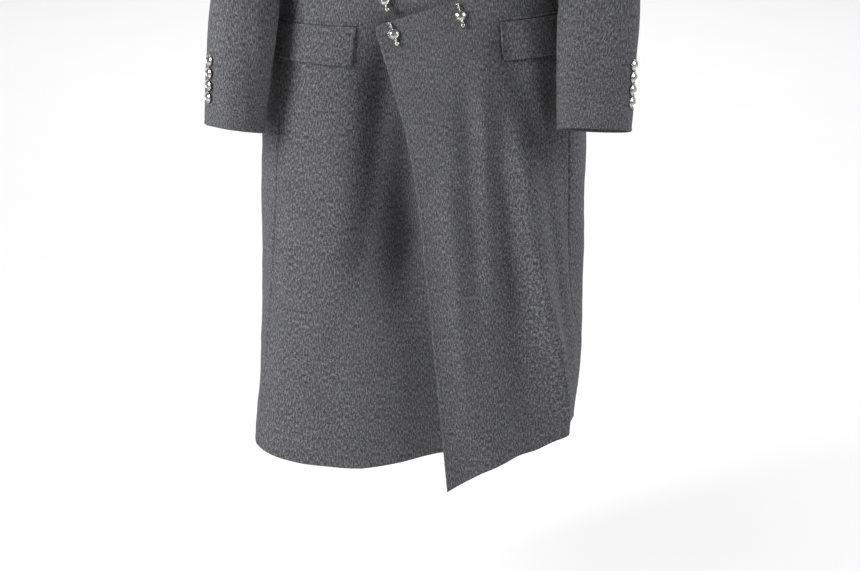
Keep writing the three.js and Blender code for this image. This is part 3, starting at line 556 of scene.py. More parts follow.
def new_group(name, inputs, outputs):
    """An empty shader node group: named inputs, each a number or None for a vector, and numbers out."""
    group = bpy.data.node_groups.new(name, "ShaderNodeTree")
    for label, value in inputs.items():
        kind = "NodeSocketVector" if value is None else "NodeSocketFloat"
        socket = group.interface.new_socket(label, in_out="INPUT", socket_type=kind)
        if value is not None:
            socket.default_value = value
    for label in outputs:
        group.interface.new_socket(label, in_out="OUTPUT", socket_type="NodeSocketFloat")
    return group, group.nodes.new("NodeGroupInput"), group.nodes.new("NodeGroupOutput")


# %% The melange group
def make_melange():
    """Noise stretched down the cloth at three scales: clumps of fibres about 2 mm by 5 mm, streaks
    about 1 mm by 2.5 mm, and single fibres. Their weighted sum is the share of light fibre."""
    weights = {"Clumps": 0.42, "Streaks": 0.40, "Fibres": 0.30}
    group, given, result = new_group("melange", {"Cloth": None} | weights, ["Share", "Height", "Rough"])

    def streaks(across, down, *shape):
        vector = stretched(group, given.outputs["Cloth"], (across, down, 1))
        return noise(group, vector, 1, *shape, noise_dimensions="2D")

    clumps = streaks(500, 190, 2, 0.55, 0.2)
    fine = streaks(1150, 400, 3, 0.65, 0.2)
    single = streaks(2600, 620, 2, 0.6)
    total = 0.0
    for layer, weight in zip((clumps, fine, single), weights):
        centred = math_node(group, "SUBTRACT", layer, 0.5)
        total = math_node(group, "MULTIPLY_ADD", centred, given.outputs[weight], total)
    plug(group, result, {
        "Share": math_node(group, "MULTIPLY_ADD", total, 3.5, 0.5),
        "Height": math_node(group, "MULTIPLY", math_node(group, "ADD", clumps, fine), 0.5),
        "Rough": math_node(group, "MULTIPLY_ADD", fine, 0.2, 0.78),
    })
    return group


MELANGE = make_melange()


# %% The wool
def make_wool(name, dark, middle, light):
    """Principled wool: a ramp of the melange's share, cloudiness over some centimetres, a bump of its
    fibres and a sheen of loose ends."""
    material, tree, shader = new_material(name)
    cloth = add_node(tree, "ShaderNodeUVMap", {}, uv_map="cloth").outputs[0]
    grain = add_node(tree, "ShaderNodeGroup", {}, node_tree=MELANGE)
    plug(tree, grain, {"Cloth": cloth})
    colour = ramp(tree, grain.outputs["Share"], (0, dark), (0.5, middle), (1, light))
    level = math_node(tree, "MULTIPLY_ADD", noise(tree, cloth, 26, 4, 0.6), 0.36, 0.82)
    tint = add_node(tree, "ShaderNodeVectorMath", {0: colour, "Scale": level}, operation="SCALE")
    plug(tree, shader, {
        "Base Color": tint.outputs[0], "Roughness": grain.outputs["Rough"],
        "Normal": bump(tree, grain.outputs["Height"], 0.6, 0.0012), "Specular IOR Level": 0.22,
        "Sheen Weight": 0.04, "Sheen Roughness": 0.45, "Sheen Tint": (0.80, 0.84, 0.92, 1),
    })
    return material


WOOL = make_wool("wool", (0.022, 0.022, 0.024), (0.079, 0.079, 0.083), (0.235, 0.235, 0.243))
print("materials:", len(bpy.data.materials), "and", len(MELANGE.nodes), "nodes in the melange")

# %% [markdown]
# ## Cloth pieces
# Each cut piece takes the place of its plain solid and moves with the coat's one body. Heavy wool
# doesn't stretch as it hangs.


def cut_and_sew(node, points, normals, uv, relief, inset, here=None):
    """Makes one piece of cloth, which rides the coat and replaces its solid."""
    name = "wool_" + node.replace("pocket_", "")
    piece = cloth_wall(name, points, normals, uv, WOOL, relief, inset, here)
    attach(piece, "root")
    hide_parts(node)


# %% [markdown]
# ## The two fronts
# Each front runs from the shoulder to the hem, and from the side seam to the front edge. Above the
# crossing it ends at the roll line, where the cloth turns over into the lapel. Below it the front
# widens into the lap, which is a second block of grid columns on the same rows.

# %% Edges of the fronts
CROSS_X, CROSS_Z = 44, -468
LAP_CORNER_Z, UNDER_CORNER_Z = -504, -500
LAP_CORNER_RADIUS = 10
LAP_LINE_X = {"left": 84, "right": 30}  # x at the foot of the line that runs down from the crossing
LAP_DROP = 682.0  # length of that line, roughly
UNDER_EDGE_X = 76
HEM_Z = -1150
LAP_EDGE = table("z x", [
    (-504, -69), (-577, -46), (-671, -21), (-767, -6), (-865, 4), (-1014, 19), (-1184, 35)])
LAP_HEM = table("x z", [
    (35, -1184), (67, -1165), (94, -1152), (126, -1142), (165, -1135), (191, -1126), (222, -1112)])
UNDER_HEM = table("x z", [
    (-250, -1150), (-200, -1152), (-100, -1154), (-43, -1149), (29, -1137), (76, -1133)])
HEM_LEFT = {"seam": -1112, "back": -1134, "rise": -1150}
ARMHOLES = table("t front back", [(0.2, 183, 187), (0.45, 182, 190), (0.7, 191, 200), (1, 222, 222)])


# %% Where a piece ends
def seam_turn(side, z, behind=False):
    return SIGN[side] * curve(SEAMS, z, "back" if behind else side)


def sew(turn, level, gap):
    """The turn that moves a point by this many millimetres round the form."""
    point = form_point(turn, level)
    return np.degrees(gap / np.hypot(point[..., 0], point[..., 1]))


def roll_x(side, z):
    return mix(SIGN[side] * NECK_HALF, CROSS_X, np.clip(z / CROSS_Z, 0, 1))


def armhole_turn(side, t, part):
    """The turn of the armhole's edge at a share of the height above the underarm, from its table with
    the side seam's own place as its lowest row."""
    behind = part == "back"
    start = abs(form_point(seam_turn(side, UNDERARM_Z, behind), 0.0)[0])
    rows = {"key": np.r_[0, ARMHOLES["key"]], part: np.r_[start, ARMHOLES[part]]}
    return turn_at(SIGN[side] * curve(rows, t, part), t, behind)


def front_hem(side, x):
    return curve(LAP_HEM if side == "left" else UNDER_HEM, x, "z")


def hem_at_seam(side):
    if side == "left":
        return HEM_LEFT["seam"]
    return float(front_hem("right", form_point(seam_turn("right", HEM_Z), HEM_Z - UNDERARM_Z)[0]))


# %% Rows of the body
def rows_above(count):
    """Shares of the height from the shoulder seam to the underarm, even in length over the shoulder."""
    t = np.linspace(0, 1, 400)
    over = form_point(35.0, t)  # a line over the middle of the shoulder
    length = np.r_[0, np.cumsum(np.linalg.norm(np.diff(over, axis=0), axis=-1))]
    even = stations(length[-1], count, first=True, last=False)[0][:-1] * length[-1]
    return np.interp(length[-1] - even, length, t)


ABOVE = rows_above(72)  # levels, down to the underarm
BETWEEN = np.linspace(UNDERARM_Z, CROSS_Z, 58)[:-1]  # heights, down to the crossing
DOWN = stations(690, 168)[0]  # shares of the way from the crossing to the hem
ROUND = {"front": 170, "side": 210, "back": 215}  # rough radii, for the widths of the pieces
COLUMNS = {"lap": 27, "front": 68, "side": 36, "neck": 22, "back": 38}  # of their grids
LAP_BLEND = 14  # over which the lap's top edge fades out beside the line from the crossing
print("rows of the body:", len(ABOVE), len(BETWEEN), len(DOWN))


def body_rows(hem):
    """Heights and levels of the rows from the shoulder seam down to a hem at this height."""
    z = np.concatenate([UNDERARM_Z * (1 - ABOVE), BETWEEN, mix(CROSS_Z, hem, DOWN)])
    return z, np.concatenate([ABOVE, z[len(ABOVE):] - UNDERARM_Z])


def outer_turn(side, z, level, part):
    """The turn of a panel's outer edge: the armhole's, and below the underarm the seam's."""
    armhole_edge = armhole_turn(side, np.clip(level, 0, 1), part)
    return np.where(level > 0, armhole_edge, seam_turn(side, z, part == "back"))


# %% The lap block
def lap_block(side):
    """Turns and levels of the lap's columns, from the front edge to the line down from the crossing.
    x and z run straight between those two lines, and the upper corner is rounded first."""

    def edge(share):
        if side == "left":
            z = mix(LAP_CORNER_Z, LAP_HEM["z"][0], share)
            return curve(LAP_EDGE, z, "x"), z
        hem = curve(UNDER_HEM, UNDER_EDGE_X, "z")
        return np.full_like(share, UNDER_EDGE_X), mix(UNDER_CORNER_Z, hem, share)

    def line(share):
        x = mix(CROSS_X, LAP_LINE_X[side], share)
        return x, mix(CROSS_Z, front_hem(side, x), share)

    width = np.hypot(*(a - b for a, b in zip(line(DOWN), edge(DOWN))))[:, None]
    across = stations(width[:, 0], COLUMNS["lap"], last=False)[:, :-1]
    a, b, distance = rounded(across * width, DOWN[:, None] * LAP_DROP + 0 * across, LAP_CORNER_RADIUS)
    across, down = a / width, b / LAP_DROP
    (edge_x, edge_z), (line_x, line_z) = edge(down), line(down)
    x, z = mix(edge_x, line_x, across), mix(edge_z, line_z, across)
    level = z - UNDERARM_Z
    fade = np.where(b < a, step_up((1 - across) * width, 0, LAP_BLEND), 1)
    return turn_at(x, level), level, distance, fade, line(DOWN)[0]


# %% A whole front
def front_grid(side):
    """Turns and levels of a front, and where it has cloth: its main columns run evenly from the roll
    line, or below the crossing from the lap block, to the armhole and the side seam."""
    lap_turn, lap_level, edge, fade, line_x = lap_block(side)
    upper, lower = len(ABOVE) + len(BETWEEN), len(DOWN)
    seam_z, level = body_rows(hem_at_seam(side))
    start_x = np.concatenate([roll_x(side, seam_z[:upper]), line_x])
    start_level = level.copy()
    start_level[upper:] = mix(CROSS_Z, front_hem(side, line_x), DOWN) - UNDERARM_Z
    start = turn_at(start_x, start_level)
    end = outer_turn(side, seam_z, level, "front")
    end = end - SIGN[side] * sew(end, level, GAP)
    width = np.radians(np.abs(end - start)) * ROUND["front"]
    turn = mix(start[:, None], end[:, None], stations(width, COLUMNS["front"], first=False))
    levels = level[:, None] + 0 * turn
    foot = form_point(turn[upper:], HEM_Z - UNDERARM_Z)[..., 0]
    levels[upper:] = mix(CROSS_Z, front_hem(side, foot), DOWN[:, None]) - UNDERARM_Z
    here = np.ones((upper + lower, lap_turn.shape[1] + turn.shape[1]), bool)
    here[:upper, : lap_turn.shape[1]] = False
    blank = np.zeros((upper, lap_turn.shape[1]))
    turn, levels = (np.hstack([np.vstack([blank, lap]), main])
                    for lap, main in ((lap_turn, turn), (lap_level, levels)))
    return turn, levels, here, edge, fade


# %% Its edges
UV_RADIUS, UV_HEIGHT = 205, 290  # rough sizes of the form, for its map
FAR = 99.0  # from any edge


def body_uv(turn, level):
    """A map in millimetres that runs round the form and up it."""
    return np.stack([np.radians(turn) * UV_RADIUS, np.where(level > 0, level * UV_HEIGHT, level)], -1)


def make_front(side):
    """The lap and the hem have turned edges, and the side and the shoulder have seams."""
    turn, level, here, edge, fade = front_grid(side)
    points, normals = on_coat(side, turn, level)
    upper, lap = here.shape[0] - edge.shape[0], edge.shape[1]
    main = points[:, lap:]
    shoulder, hem, _, seam = from_sides(main)
    lap_hem = from_edge(points[upper:][::-1])[::-1][:, :lap]
    free = np.full(here.shape, FAR)
    free[upper:, :lap] = np.minimum(edge + 20 * (1 - fade), lap_hem)
    free[upper:, lap:] = np.minimum(FAR, hem[upper:])
    relief, inset = turned_edge(free)
    relief[:, lap:] += seam_edge(seam, main[..., 2]) + seam_edge(shoulder, main[..., 0])
    cut_and_sew(f"front_{side}", points, normals, body_uv(turn, level), relief, inset, here)


for side in SIGN:
    make_front(side)

# %% [markdown]
# ## The side pieces
# A tailored coat joins its front to a narrow side piece some way before the side, which is why its
# seam shows from the front. The piece runs from the armhole's foot, where it dips, to the hem.


# %% The side pieces
SIDE_TOP = mix(UNDERARM_Z, CROSS_Z, stations(228, 57, last=False)[0][:-1])
SIDE_Z = np.concatenate([SIDE_TOP, mix(CROSS_Z, HEM_Z, DOWN)])[:, None]
DIP_FADE = 60  # how far below the underarm the dip has faded from the rows


def make_side(side):
    """Columns run evenly from the side seam to the back seam. The top rows follow the armhole's dip,
    a half sine, and the lower rows gather to the hem, which rises or falls between its two seams."""
    from_turn, to_turn = (seam_turn(side, SIDE_Z[:, 0], behind) for behind in (False, True))
    share = stations(np.radians(np.abs(to_turn - from_turn)) * ROUND["side"], COLUMNS["side"])
    dip = UNDERARM_DIP * np.sin(math.pi * share) * (1 - np.clip((UNDERARM_Z - SIDE_Z) / DIP_FADE, 0, 1))
    hem = mix(hem_at_seam(side), HEM_LEFT["back"] if side == "left" else HEM_Z, share)
    down = np.clip((SIDE_Z - CROSS_Z) / (HEM_Z - CROSS_Z), 0, 1)
    z = np.where(down > 0, mix(CROSS_Z, hem, down), SIDE_Z - dip)
    level = z - UNDERARM_Z
    from_turn, to_turn = (seam_turn(side, z, behind) for behind in (False, True))
    gap = SIGN[side] * sew(from_turn, level, GAP)
    turn = mix(from_turn + gap, to_turn - gap, share)
    points, normals = on_coat(side, turn, level)
    top, foot, first, last = from_sides(points)
    relief, inset = turned_edge(foot)
    relief += seam_edge(first, z) + seam_edge(last, z) + seam_edge(top, points[..., 1])
    cut_and_sew(f"side_{side}", points, normals, body_uv(turn, level), relief, inset)


for side in SIGN:
    make_side(side)

# %% [markdown]
# ## The back
# The back is cut in two halves with a seam down the middle. Its top follows the shoulder seams and
# dips between them for the neck.


# %% The back
def back_top(x):
    """1 at the shoulder seam, less the neck's drop times sqrt(1 - across^2.5) between the seams."""
    across = np.minimum(np.abs(x) / NECK_HALF, 1)
    return 1 - (NECK_DROP / -UNDERARM_Z) * np.sqrt(1 - across**2.5)


def make_back(side):
    """Columns run evenly from the middle to the armhole or the back seam, with one of them at the
    point where the neckline meets the shoulder seam."""
    middle = SIGN[side] * 180.0
    z, level = body_rows(HEM_Z)
    end = outer_turn(side, z, level, "back")
    neck = turn_at(SIGN[side] * NECK_HALF, 1.0, True)
    neck_share = (middle - neck) / (middle - armhole_turn(side, 1.0, "back"))
    width = np.radians(np.abs(middle - end)) * ROUND["back"]
    inner = stations(neck_share * width, COLUMNS["neck"])[:, :-1]
    outer = stations((1 - neck_share) * width, COLUMNS["back"], first=False)
    share = np.hstack([neck_share * inner, mix(neck_share, 1, outer)])
    first_turn = mix(middle, end[:, None], share)
    top = back_top(form_point(first_turn, np.clip(level, 0, 1)[:, None])[..., 0])
    levels = level[:, None] * np.where(level[:, None] > 0, top, 1)
    hem = mix(HEM_LEFT["rise"], HEM_LEFT["back"], share) if side == "left" else HEM_Z + 0 * share
    down = np.concatenate([np.zeros(len(level) - len(DOWN)), DOWN])[:, None]
    levels = np.where(down > 0, mix(CROSS_Z, hem, down) - UNDERARM_Z, levels)
    end = np.where(levels > 0, end[:, None], seam_turn(side, UNDERARM_Z + levels, True))
    gap = SIGN[side] * sew(middle, levels, GAP)
    turn = mix(middle - gap, end + gap, share)
    points, normals = on_coat(side, turn, levels)
    shoulder, foot, centre, seam = from_sides(points)
    relief, inset = turned_edge(foot)
    z = points[..., 2]
    relief += seam_edge(centre, z + 60) + seam_edge(seam, z) + seam_edge(shoulder, points[..., 0], 0.8)
    cut_and_sew(f"back_{side}", points, normals, body_uv(turn, levels), relief, inset)


for side in SIGN:
    make_back(side)

# %% [markdown]
# ## The sleeves
# A tailored sleeve is two pieces, a wide top and a narrow under one, so that it can bend forward at the
# elbow as an arm does. It is made here as rings: each is an ellipse between an outer and an inner end,
# tipped forward. Near the armhole the rings keep a part of the armhole's own shape, so that the head
# of the sleeve grows out of the body, and the two seams turn slowly forward down to the cuff.

# %% The rings of the sleeves
HEAD = "outX outZ inX inZ y half bow pitch"
SLEEVE_HEAD = [
    (222, -45, 214, -258, 2, 78, -30, 0),
    (243, -53, 221, -255, 1, 80, -17, 0),
    (264, -78, 224, -261, 0, 80, -7, 0),
    (284, -122, 221, -276, -2, 77, 0, 1),
    (300, -183, 219, -298, -4, 74, 0, 2),
]
SLEEVES = {
    "right": [
        (305, -245, 218, -322, -10, 70, 0, 3),
        (306, -312, 213, -358, -20, 66, 0, 7),
        (302, -385, 206, -410, -44, 62, 0, 12),
        (300, -448, 203, -464, -77, 53, 0, 15),
        (304, -508, 208, -521, -106, 46, 0, 14),
        (308, -562, 216, -575, -116, 45, 0, 11),
        (311, -608, 222, -620, -112, 46, 0, 9),
        (313, -648, 227, -661, -110, 46, 0, 8),
    ],
    "left": [
        (307, -245, 218, -322, -14, 68, 0, 4),
        (309, -312, 213, -358, -32, 62, 0, 10),
        (308, -385, 201, -410, -64, 54, 0, 16),
        (306, -448, 191, -464, -101, 44, 0, 18),
        (304, -508, 188, -521, -128, 40, 0, 18),
        (301, -561, 189, -570, -136, 38, 0, 16),
        (299, -609, 190, -611, -139, 38, 0, 15),
        (296, -653, 191, -649, -141, 37, 0, 15),
    ],
}
RINGS = {side: table("number " + HEAD, [(i, *row) for i, row in enumerate(SLEEVE_HEAD + SLEEVES[side])])
         for side in SIGN}
LAST_RING = 12
SLEEVE_TWIST = {"right": 70, "left": 61}  # degrees that the seams turn forward down to the cuff
# how much of the armhole's own shape a ring keeps
HEAD_KEEPS = table("number share", [(0, 1), (1, 0.62), (2, 0.28), (3, 0.08), (4, 0), (5, 0)])
AROUND = 19  # places round the armhole, counted from the shoulder point round the front


# %% A point of a ring
def ring_point(side, number, degrees):
    """The ring's middle + its outward half * cos + its forward half * sin, where 0 degrees is its
    outer end, 90 its front and 180 its inner end."""
    number, degrees = np.broadcast_arrays(np.asarray(number, float), np.asarray(degrees, float))
    ring = (curve(RINGS[side], number, name) for name in HEAD.split())
    out_x, out_z, in_x, in_z, y, half, bow, pitch = ring
    cos, sin, pitch = np.cos(np.radians(degrees)), np.sin(np.radians(degrees)), np.radians(pitch)
    x = (out_x + in_x) / 2 + bow * sin**2 + (out_x - in_x) / 2 * cos
    y = y - half * np.cos(pitch) * sin
    z = (out_z + in_z) / 2 + (out_z - in_z) / 2 * cos + half * np.sin(pitch) * sin
    return np.stack([SIGN[side] * x, y, z], -1)


# %% The armhole
FRONT_END, BACK_END = 7, 12  # the places where the side piece's top begins and ends
PLACES = table("place t", [(0, 1), (1, 0.88), (2, 0.75), (3, 0.61), (4, 0.47), (5, 0.32), (6, 0.16), (7, 0)])


def armhole(side, place):
    """Points and normals of the armhole's edge: down the front, along the dip at the top of the side
    piece, and up the back, which mirrors the front's heights."""
    place = np.mod(place, AROUND)
    front, back = place < FRONT_END, place > BACK_END
    t = curve(PLACES, np.where(front, place, AROUND - place), "t")
    across = np.clip((place - FRONT_END) / (BACK_END - FRONT_END), 0, 1)
    under = mix(seam_turn(side, UNDERARM_Z), seam_turn(side, UNDERARM_Z, True), across)
    front_turn, back_turn = (armhole_turn(side, t, part) for part in ("front", "back"))
    turn = np.where(front, front_turn, np.where(back, back_turn, under))
    dip = -UNDERARM_DIP * np.sin(math.pi * across)
    return on_coat(side, turn, np.where(front | back, np.minimum(t, AT_SEAM - 0.0001), dip))


# %% A point of a sleeve
def sleeve_point(side, number, place):
    """The ring's point, with its angle going from the armhole's own to an even spacing plus the
    twist, moved by the part that this ring keeps of what the armhole differs from the first ring."""
    number, place = np.broadcast_arrays(np.asarray(number, float), np.asarray(place, float))
    hole, _ = armhole(side, place)
    first = {name: RINGS[side][name][0] for name in HEAD.split()}
    up = (hole[..., 2] - (first["outZ"] + first["inZ"]) / 2) / ((first["outZ"] - first["inZ"]) / 2)
    own = np.degrees(np.arctan2((first["y"] - hole[..., 1]) / first["half"], up))
    own = np.where((np.mod(place, AROUND) > 1) & (own < 0), own + 360, own) + 360 * np.floor(place / AROUND)
    down = number / LAST_RING
    even = mix(own, 360 * place / AROUND, step_up(down, 0, 0.45))
    degrees = even + SLEEVE_TWIST[side] * step_up(down, 0.1, 1)
    keep = curve(HEAD_KEEPS, number, "share")[..., None]
    return ring_point(side, number, degrees) + keep * (hole - ring_point(side, 0.0, own))


def grid_normals(points):
    """Normals of a grid: the cross product of its two directions."""
    return unit(np.cross(np.gradient(points, axis=1), np.gradient(points, axis=0)))


# %% [markdown]
# The wool creases where the arm bends and under the arm, and hangs smooth elsewhere. Each crease is a
# short ridge or hollow, drawn between two places on the sleeve.

# %% Creases of the sleeves
# side, ring and place at its start, ring and place at its end, half-width, and height
SLEEVE_CREASES = [
    ("both", 6.6, 4.2, 7.5, 8.6, 9, -2.4),
    ("both", 7.2, 3.6, 8.0, 8.2, 8, 1.8),
    ("both", 7.8, 4.6, 8.5, 8.9, 8, -1.6),
    ("both", 5.6, 5.0, 6.8, 9.2, 10, 1.7),
    ("both", 3.2, 4.6, 5.4, 8.0, 11, -2.2),
    ("both", 2.8, 14.6, 5.0, 12.0, 12, -2.2),
    ("both", 3.6, 15.6, 6.0, 12.8, 11, 1.6),
    ("both", 7.0, 16.4, 9.4, 13.4, 12, 1.5),
    ("right", 8.0, 2.2, 12.4, 3.6, 11, -1.3),
    ("right", 8.4, 0.4, 12.6, 0.9, 12, 1.2),
    ("right", 9.2, 17.4, 12.6, 18.2, 13, -1.3),
    ("left", 8.4, 1.6, 12.5, 2.8, 12, -1.4),
    ("left", 8.0, 3.8, 12.5, 4.6, 11, 1.2),
    ("left", 9.0, 17.8, 12.5, 18.9, 12, 1.2),
]
RING_STEP, PLACE_STEP = 52, 17  # millimetres between two rings and between two places


def places_apart(place, start):
    """From one place to another by the shorter way round."""
    return np.mod(place - start + AROUND / 2, AROUND) - AROUND / 2


def crease_height(side, number, place):
    """height * bell(distance from the crease's line, half-width), fading at both of its ends."""
    out = np.zeros(np.broadcast(number, place).shape)
    for on, n0, p0, n1, p1, width, height in SLEEVE_CREASES:
        if on in ("both", side):
            x, y = places_apart(place, p0) * PLACE_STEP, (number - n0) * RING_STEP
            dx, dy = places_apart(p1, p0) * PLACE_STEP, (n1 - n0) * RING_STEP
            length = math.hypot(dx, dy)
            along, distance = (x * dx + y * dy) / length**2, (x * dy - y * dx) / length
            out += height * plateau(along, -0.1, 0.35, 0.65, 1.1) * bell(distance, width)
    return out


# %% The four sleeve pieces
SLEEVE_PARTS = {"top": (15, 25, 44), "under": (6, 15, 38)}  # the places of its seams, and columns
SLEEVE_LENGTH = 640
HEAD_EASE = 9  # how far below the armhole the normals are still the armhole's own
CUFF_STITCHES = 42  # how far above the cuff its stitches run


def make_sleeve_piece(side, part):
    """Columns of places between the two seams, and rows of rings from the armhole to the cuff. The head
    is eased into the armhole, and a line of stitches goes round above the cuff."""
    start, end, columns = SLEEVE_PARTS[part]
    number = stations(SLEEVE_LENGTH, 160)[0][:, None] * LAST_RING
    share = stations(np.full(len(number), (end - start) * PLACE_STEP * 1.0), columns)
    place = mix(start, end, share)
    bare = sleeve_point(side, number, place)
    head = bell(number * RING_STEP, HEAD_EASE)[..., None]
    normals = unit(mix(grid_normals(bare) * SIGN[side], armhole(side, place)[1], head))
    height = (swell(bare, 9) * 0.7 + crease_height(side, number, place)) * step_up(number, 0, 0.5)
    points = bare + normals * height[..., None]
    top, cuff, first, last = from_sides(points)
    relief, inset = turned_edge(cuff)
    along = points[..., 2]
    relief += seam_edge(first, along) + seam_edge(last, along) + seam_edge(top, place * PLACE_STEP)
    relief += 0.9 * bell(top - 6, 5) - 0.18 * bell(cuff - CUFF_STITCHES, 1.6)
    uv = np.stack(np.broadcast_arrays(place * PLACE_STEP, -number * RING_STEP), -1)
    cut_and_sew(f"sleeve_{part}_{side}", points, normals, uv, relief, inset)


for side in SIGN:
    for part in SLEEVE_PARTS:
        make_sleeve_piece(side, part)

# %% [markdown]
# ## The lapels
# The lapel is the front's own edge, turned back over the chest. It leaves the front in a soft roll, so
# the mesh starts inside the coat, runs round half a circle and then lies flat on the chest, out to a
# peak whose top edge meets the collar's end in a notch.

# %% The lapels
LAPEL = table("rollZ outX outZ", [
    (-458, 56, -447), (-360, 104, -332), (-240, 144, -212), (-120, 174, -106), (-38, 190, -52)])
NOTCH_X, NOTCH_Z = 122, -76
ROLL = 3.15  # outer radius of the roll
LAPEL_LIFT = REST + CLOTH + 0.4
LAPEL_LENGTH = 430
ROLL_COLUMNS = 12  # round the roll


def lapel_point(side, up, across):
    """x and z run straight from the roll line to the free edge, less a notch that is deepest halfway
    along the top, and the lift swells by a half sine between them."""
    start, end = LAPEL["key"][0], LAPEL["key"][-1]
    roll_z = mix(start, end, up)
    free_x, free_z = SIGN[side] * curve(LAPEL, roll_z, "outX"), curve(LAPEL, roll_z, "outZ")
    if side == "right":
        free_x = mix(roll_x("right", roll_z) - 10, free_x, step_up(up, -0.3, 0.6))
    notch = (1 - np.abs(2 * across - 1)) * up**6
    half = (SIGN[side] * NECK_HALF + free_x) / 2
    x = mix(roll_x(side, roll_z), free_x, across) + notch * (SIGN[side] * NOTCH_X - half)
    z = mix(roll_z, free_z, across) + notch * (NOTCH_Z - (end + LAPEL["outZ"][-1]) / 2)
    return on_front(side, x, z, LAPEL_LIFT + 2 * np.sin(math.pi * across))


def make_lapel(side):
    """The flat part, and before it half a circle round the roll: middle + radius * (cos * the way
    beyond the roll line + sin * the normal)."""
    up = stations(LAPEL_LENGTH, 108)[0][:, None]
    width = np.linalg.norm(lapel_point(side, up, 1.0)[0] - lapel_point(side, up, 0.0)[0], axis=-1)[:, 0]
    flat = stations(width, 30, first=False)
    points, normals = lapel_point(side, up, flat)
    start, normal = points[:, :1], normals[:, :1]
    beyond = unit(start - lapel_point(side, up, np.full_like(up, 0.06))[0])
    beyond = unit(beyond - (beyond * normal).sum(-1, keepdims=True) * normal)
    angle = np.radians(np.linspace(-90, 90, ROLL_COLUMNS + 1))[:-1][None, :, None]
    round_way = np.cos(angle) * beyond + np.sin(angle) * normal
    points = np.hstack([start - normal * ROLL + ROLL * round_way, points])
    normals = np.hstack([round_way, normals])
    _, top, _, free = from_sides(points)
    relief, inset = turned_edge(np.minimum(free, top), 3.0)
    relief[:, :ROLL_COLUMNS], inset[:, :ROLL_COLUMNS] = 0, CLOTH
    across = np.hstack([np.linspace(-10, -1, ROLL_COLUMNS) + 0 * up, flat * width[:, None]])
    uv = np.stack([across, up * LAPEL_LENGTH + 0 * across], -1)
    cut_and_sew(f"lapel_{side}", points, normals, uv, relief, inset)


for side in SIGN:
    make_lapel(side)

# %% [markdown]
# ## The collar
# The collar stands up from the neckline, folds over, and lies on the shoulders. Five lines run along
# it: the seam, the stand, the fold, the leaf and the free edge. A smooth curve joins the places of
# each line, and another joins the five lines across.

# %% The collar's places
# x and z on the neck, how far the seam lies inside and beside it, height and lean of the fold, x and z
# of the free edge, and whether it is behind the shoulder seam
COLLAR = [
    (0, -30, 0, 0, 45, -2, 0, -48, True),
    (45, -27, 0, 0, 43, -1, 60, -44, True),
    (75, 0, 0, 3.5, 19, -3, 122, -14, True),
    (74, -14, 5, 3.5, 10, -7, 140, -46, False),
    (73, -33, 5, 3, -1, -6, 122, -73, False),
]
LEAF_LIFT, LEAF_BULGE = REST + CLOTH + 3.2, 11
COLLAR_LENGTH, COLLAR_WIDTH = 420, 95


def smooth_line(points, at):
    """A Catmull-Rom curve through points along the first axis, at places counted in points."""
    padded = np.concatenate([2 * points[:1] - points[1:2], points, 2 * points[-1:] - points[-2:-1]])
    i = np.clip(np.floor(at).astype(int), 0, len(points) - 2)
    s = (at - i).reshape(-1, *[1] * (points.ndim - 1))
    a, b, c, d = (padded[i + k] for k in range(4))
    return 0.5 * (2 * b + (c - a) * s + (2 * a - 5 * b + 4 * c - d) * s**2 + (3 * b - a - 3 * c + d) * s**3)


# %% The collar
def collar_section(side, row):
    """The five points across the collar at one of its places."""
    neck_x, neck_z, inside, beside, stand, lean, edge_x, edge_z, behind = row

    def on_body(x, z, lift):
        level = np.clip(level_at(x, z), 0, 1)
        return on_coat(side, turn_at(SIGN[side] * x, level, behind), level, lift)

    neck, normal = on_body(neck_x if behind else abs(roll_x(side, neck_z)), neck_z, 0.0)
    out = unit(np.array([neck[0], neck[1] + 12, 0]))
    seam = neck - normal * inside - out * beside + [0, 0, 1.6]
    fold = neck + out * lean + [0, 0, stand + 3]
    edge = on_body(edge_x, edge_z, LEAF_LIFT)[0]
    bulge = out * (LEAF_BULGE * 0.6) if behind else normal * 3
    leaf = mix(fold, edge, 0.3) + bulge + [0, 0, 3]
    return np.array([seam, mix(seam, fold, 0.6), fold, leaf, edge])


def make_collar():
    half = {side: [collar_section(side, row) for row in COLLAR] for side in SIGN}
    places = np.array(half["right"][::-1] + half["left"][1:])
    lines = smooth_line(places, stations(COLLAR_LENGTH, 150)[0] * (len(places) - 1))
    across = stations(COLLAR_WIDTH, 40)[0] * (places.shape[1] - 1)
    points = smooth_line(lines.swapaxes(0, 1), across).swapaxes(0, 1)
    normals = -grid_normals(points)
    first, last, _, free = from_sides(points)
    relief, inset = turned_edge(np.minimum(np.minimum(first, last), free), 3.0)
    uv = np.stack(np.broadcast_arrays(first, -free), -1)
    cut_and_sew("collar", points, normals, uv, relief, inset)


make_collar()

# %% [markdown]
# ## The pockets
# Each pocket has a flap of doubled cloth that hangs from a slit, and above the slit a narrow jet, the
# folded strip that finishes the cut. The flap begins right under the jet, bows out a little, and has
# two small round corners at its foot.

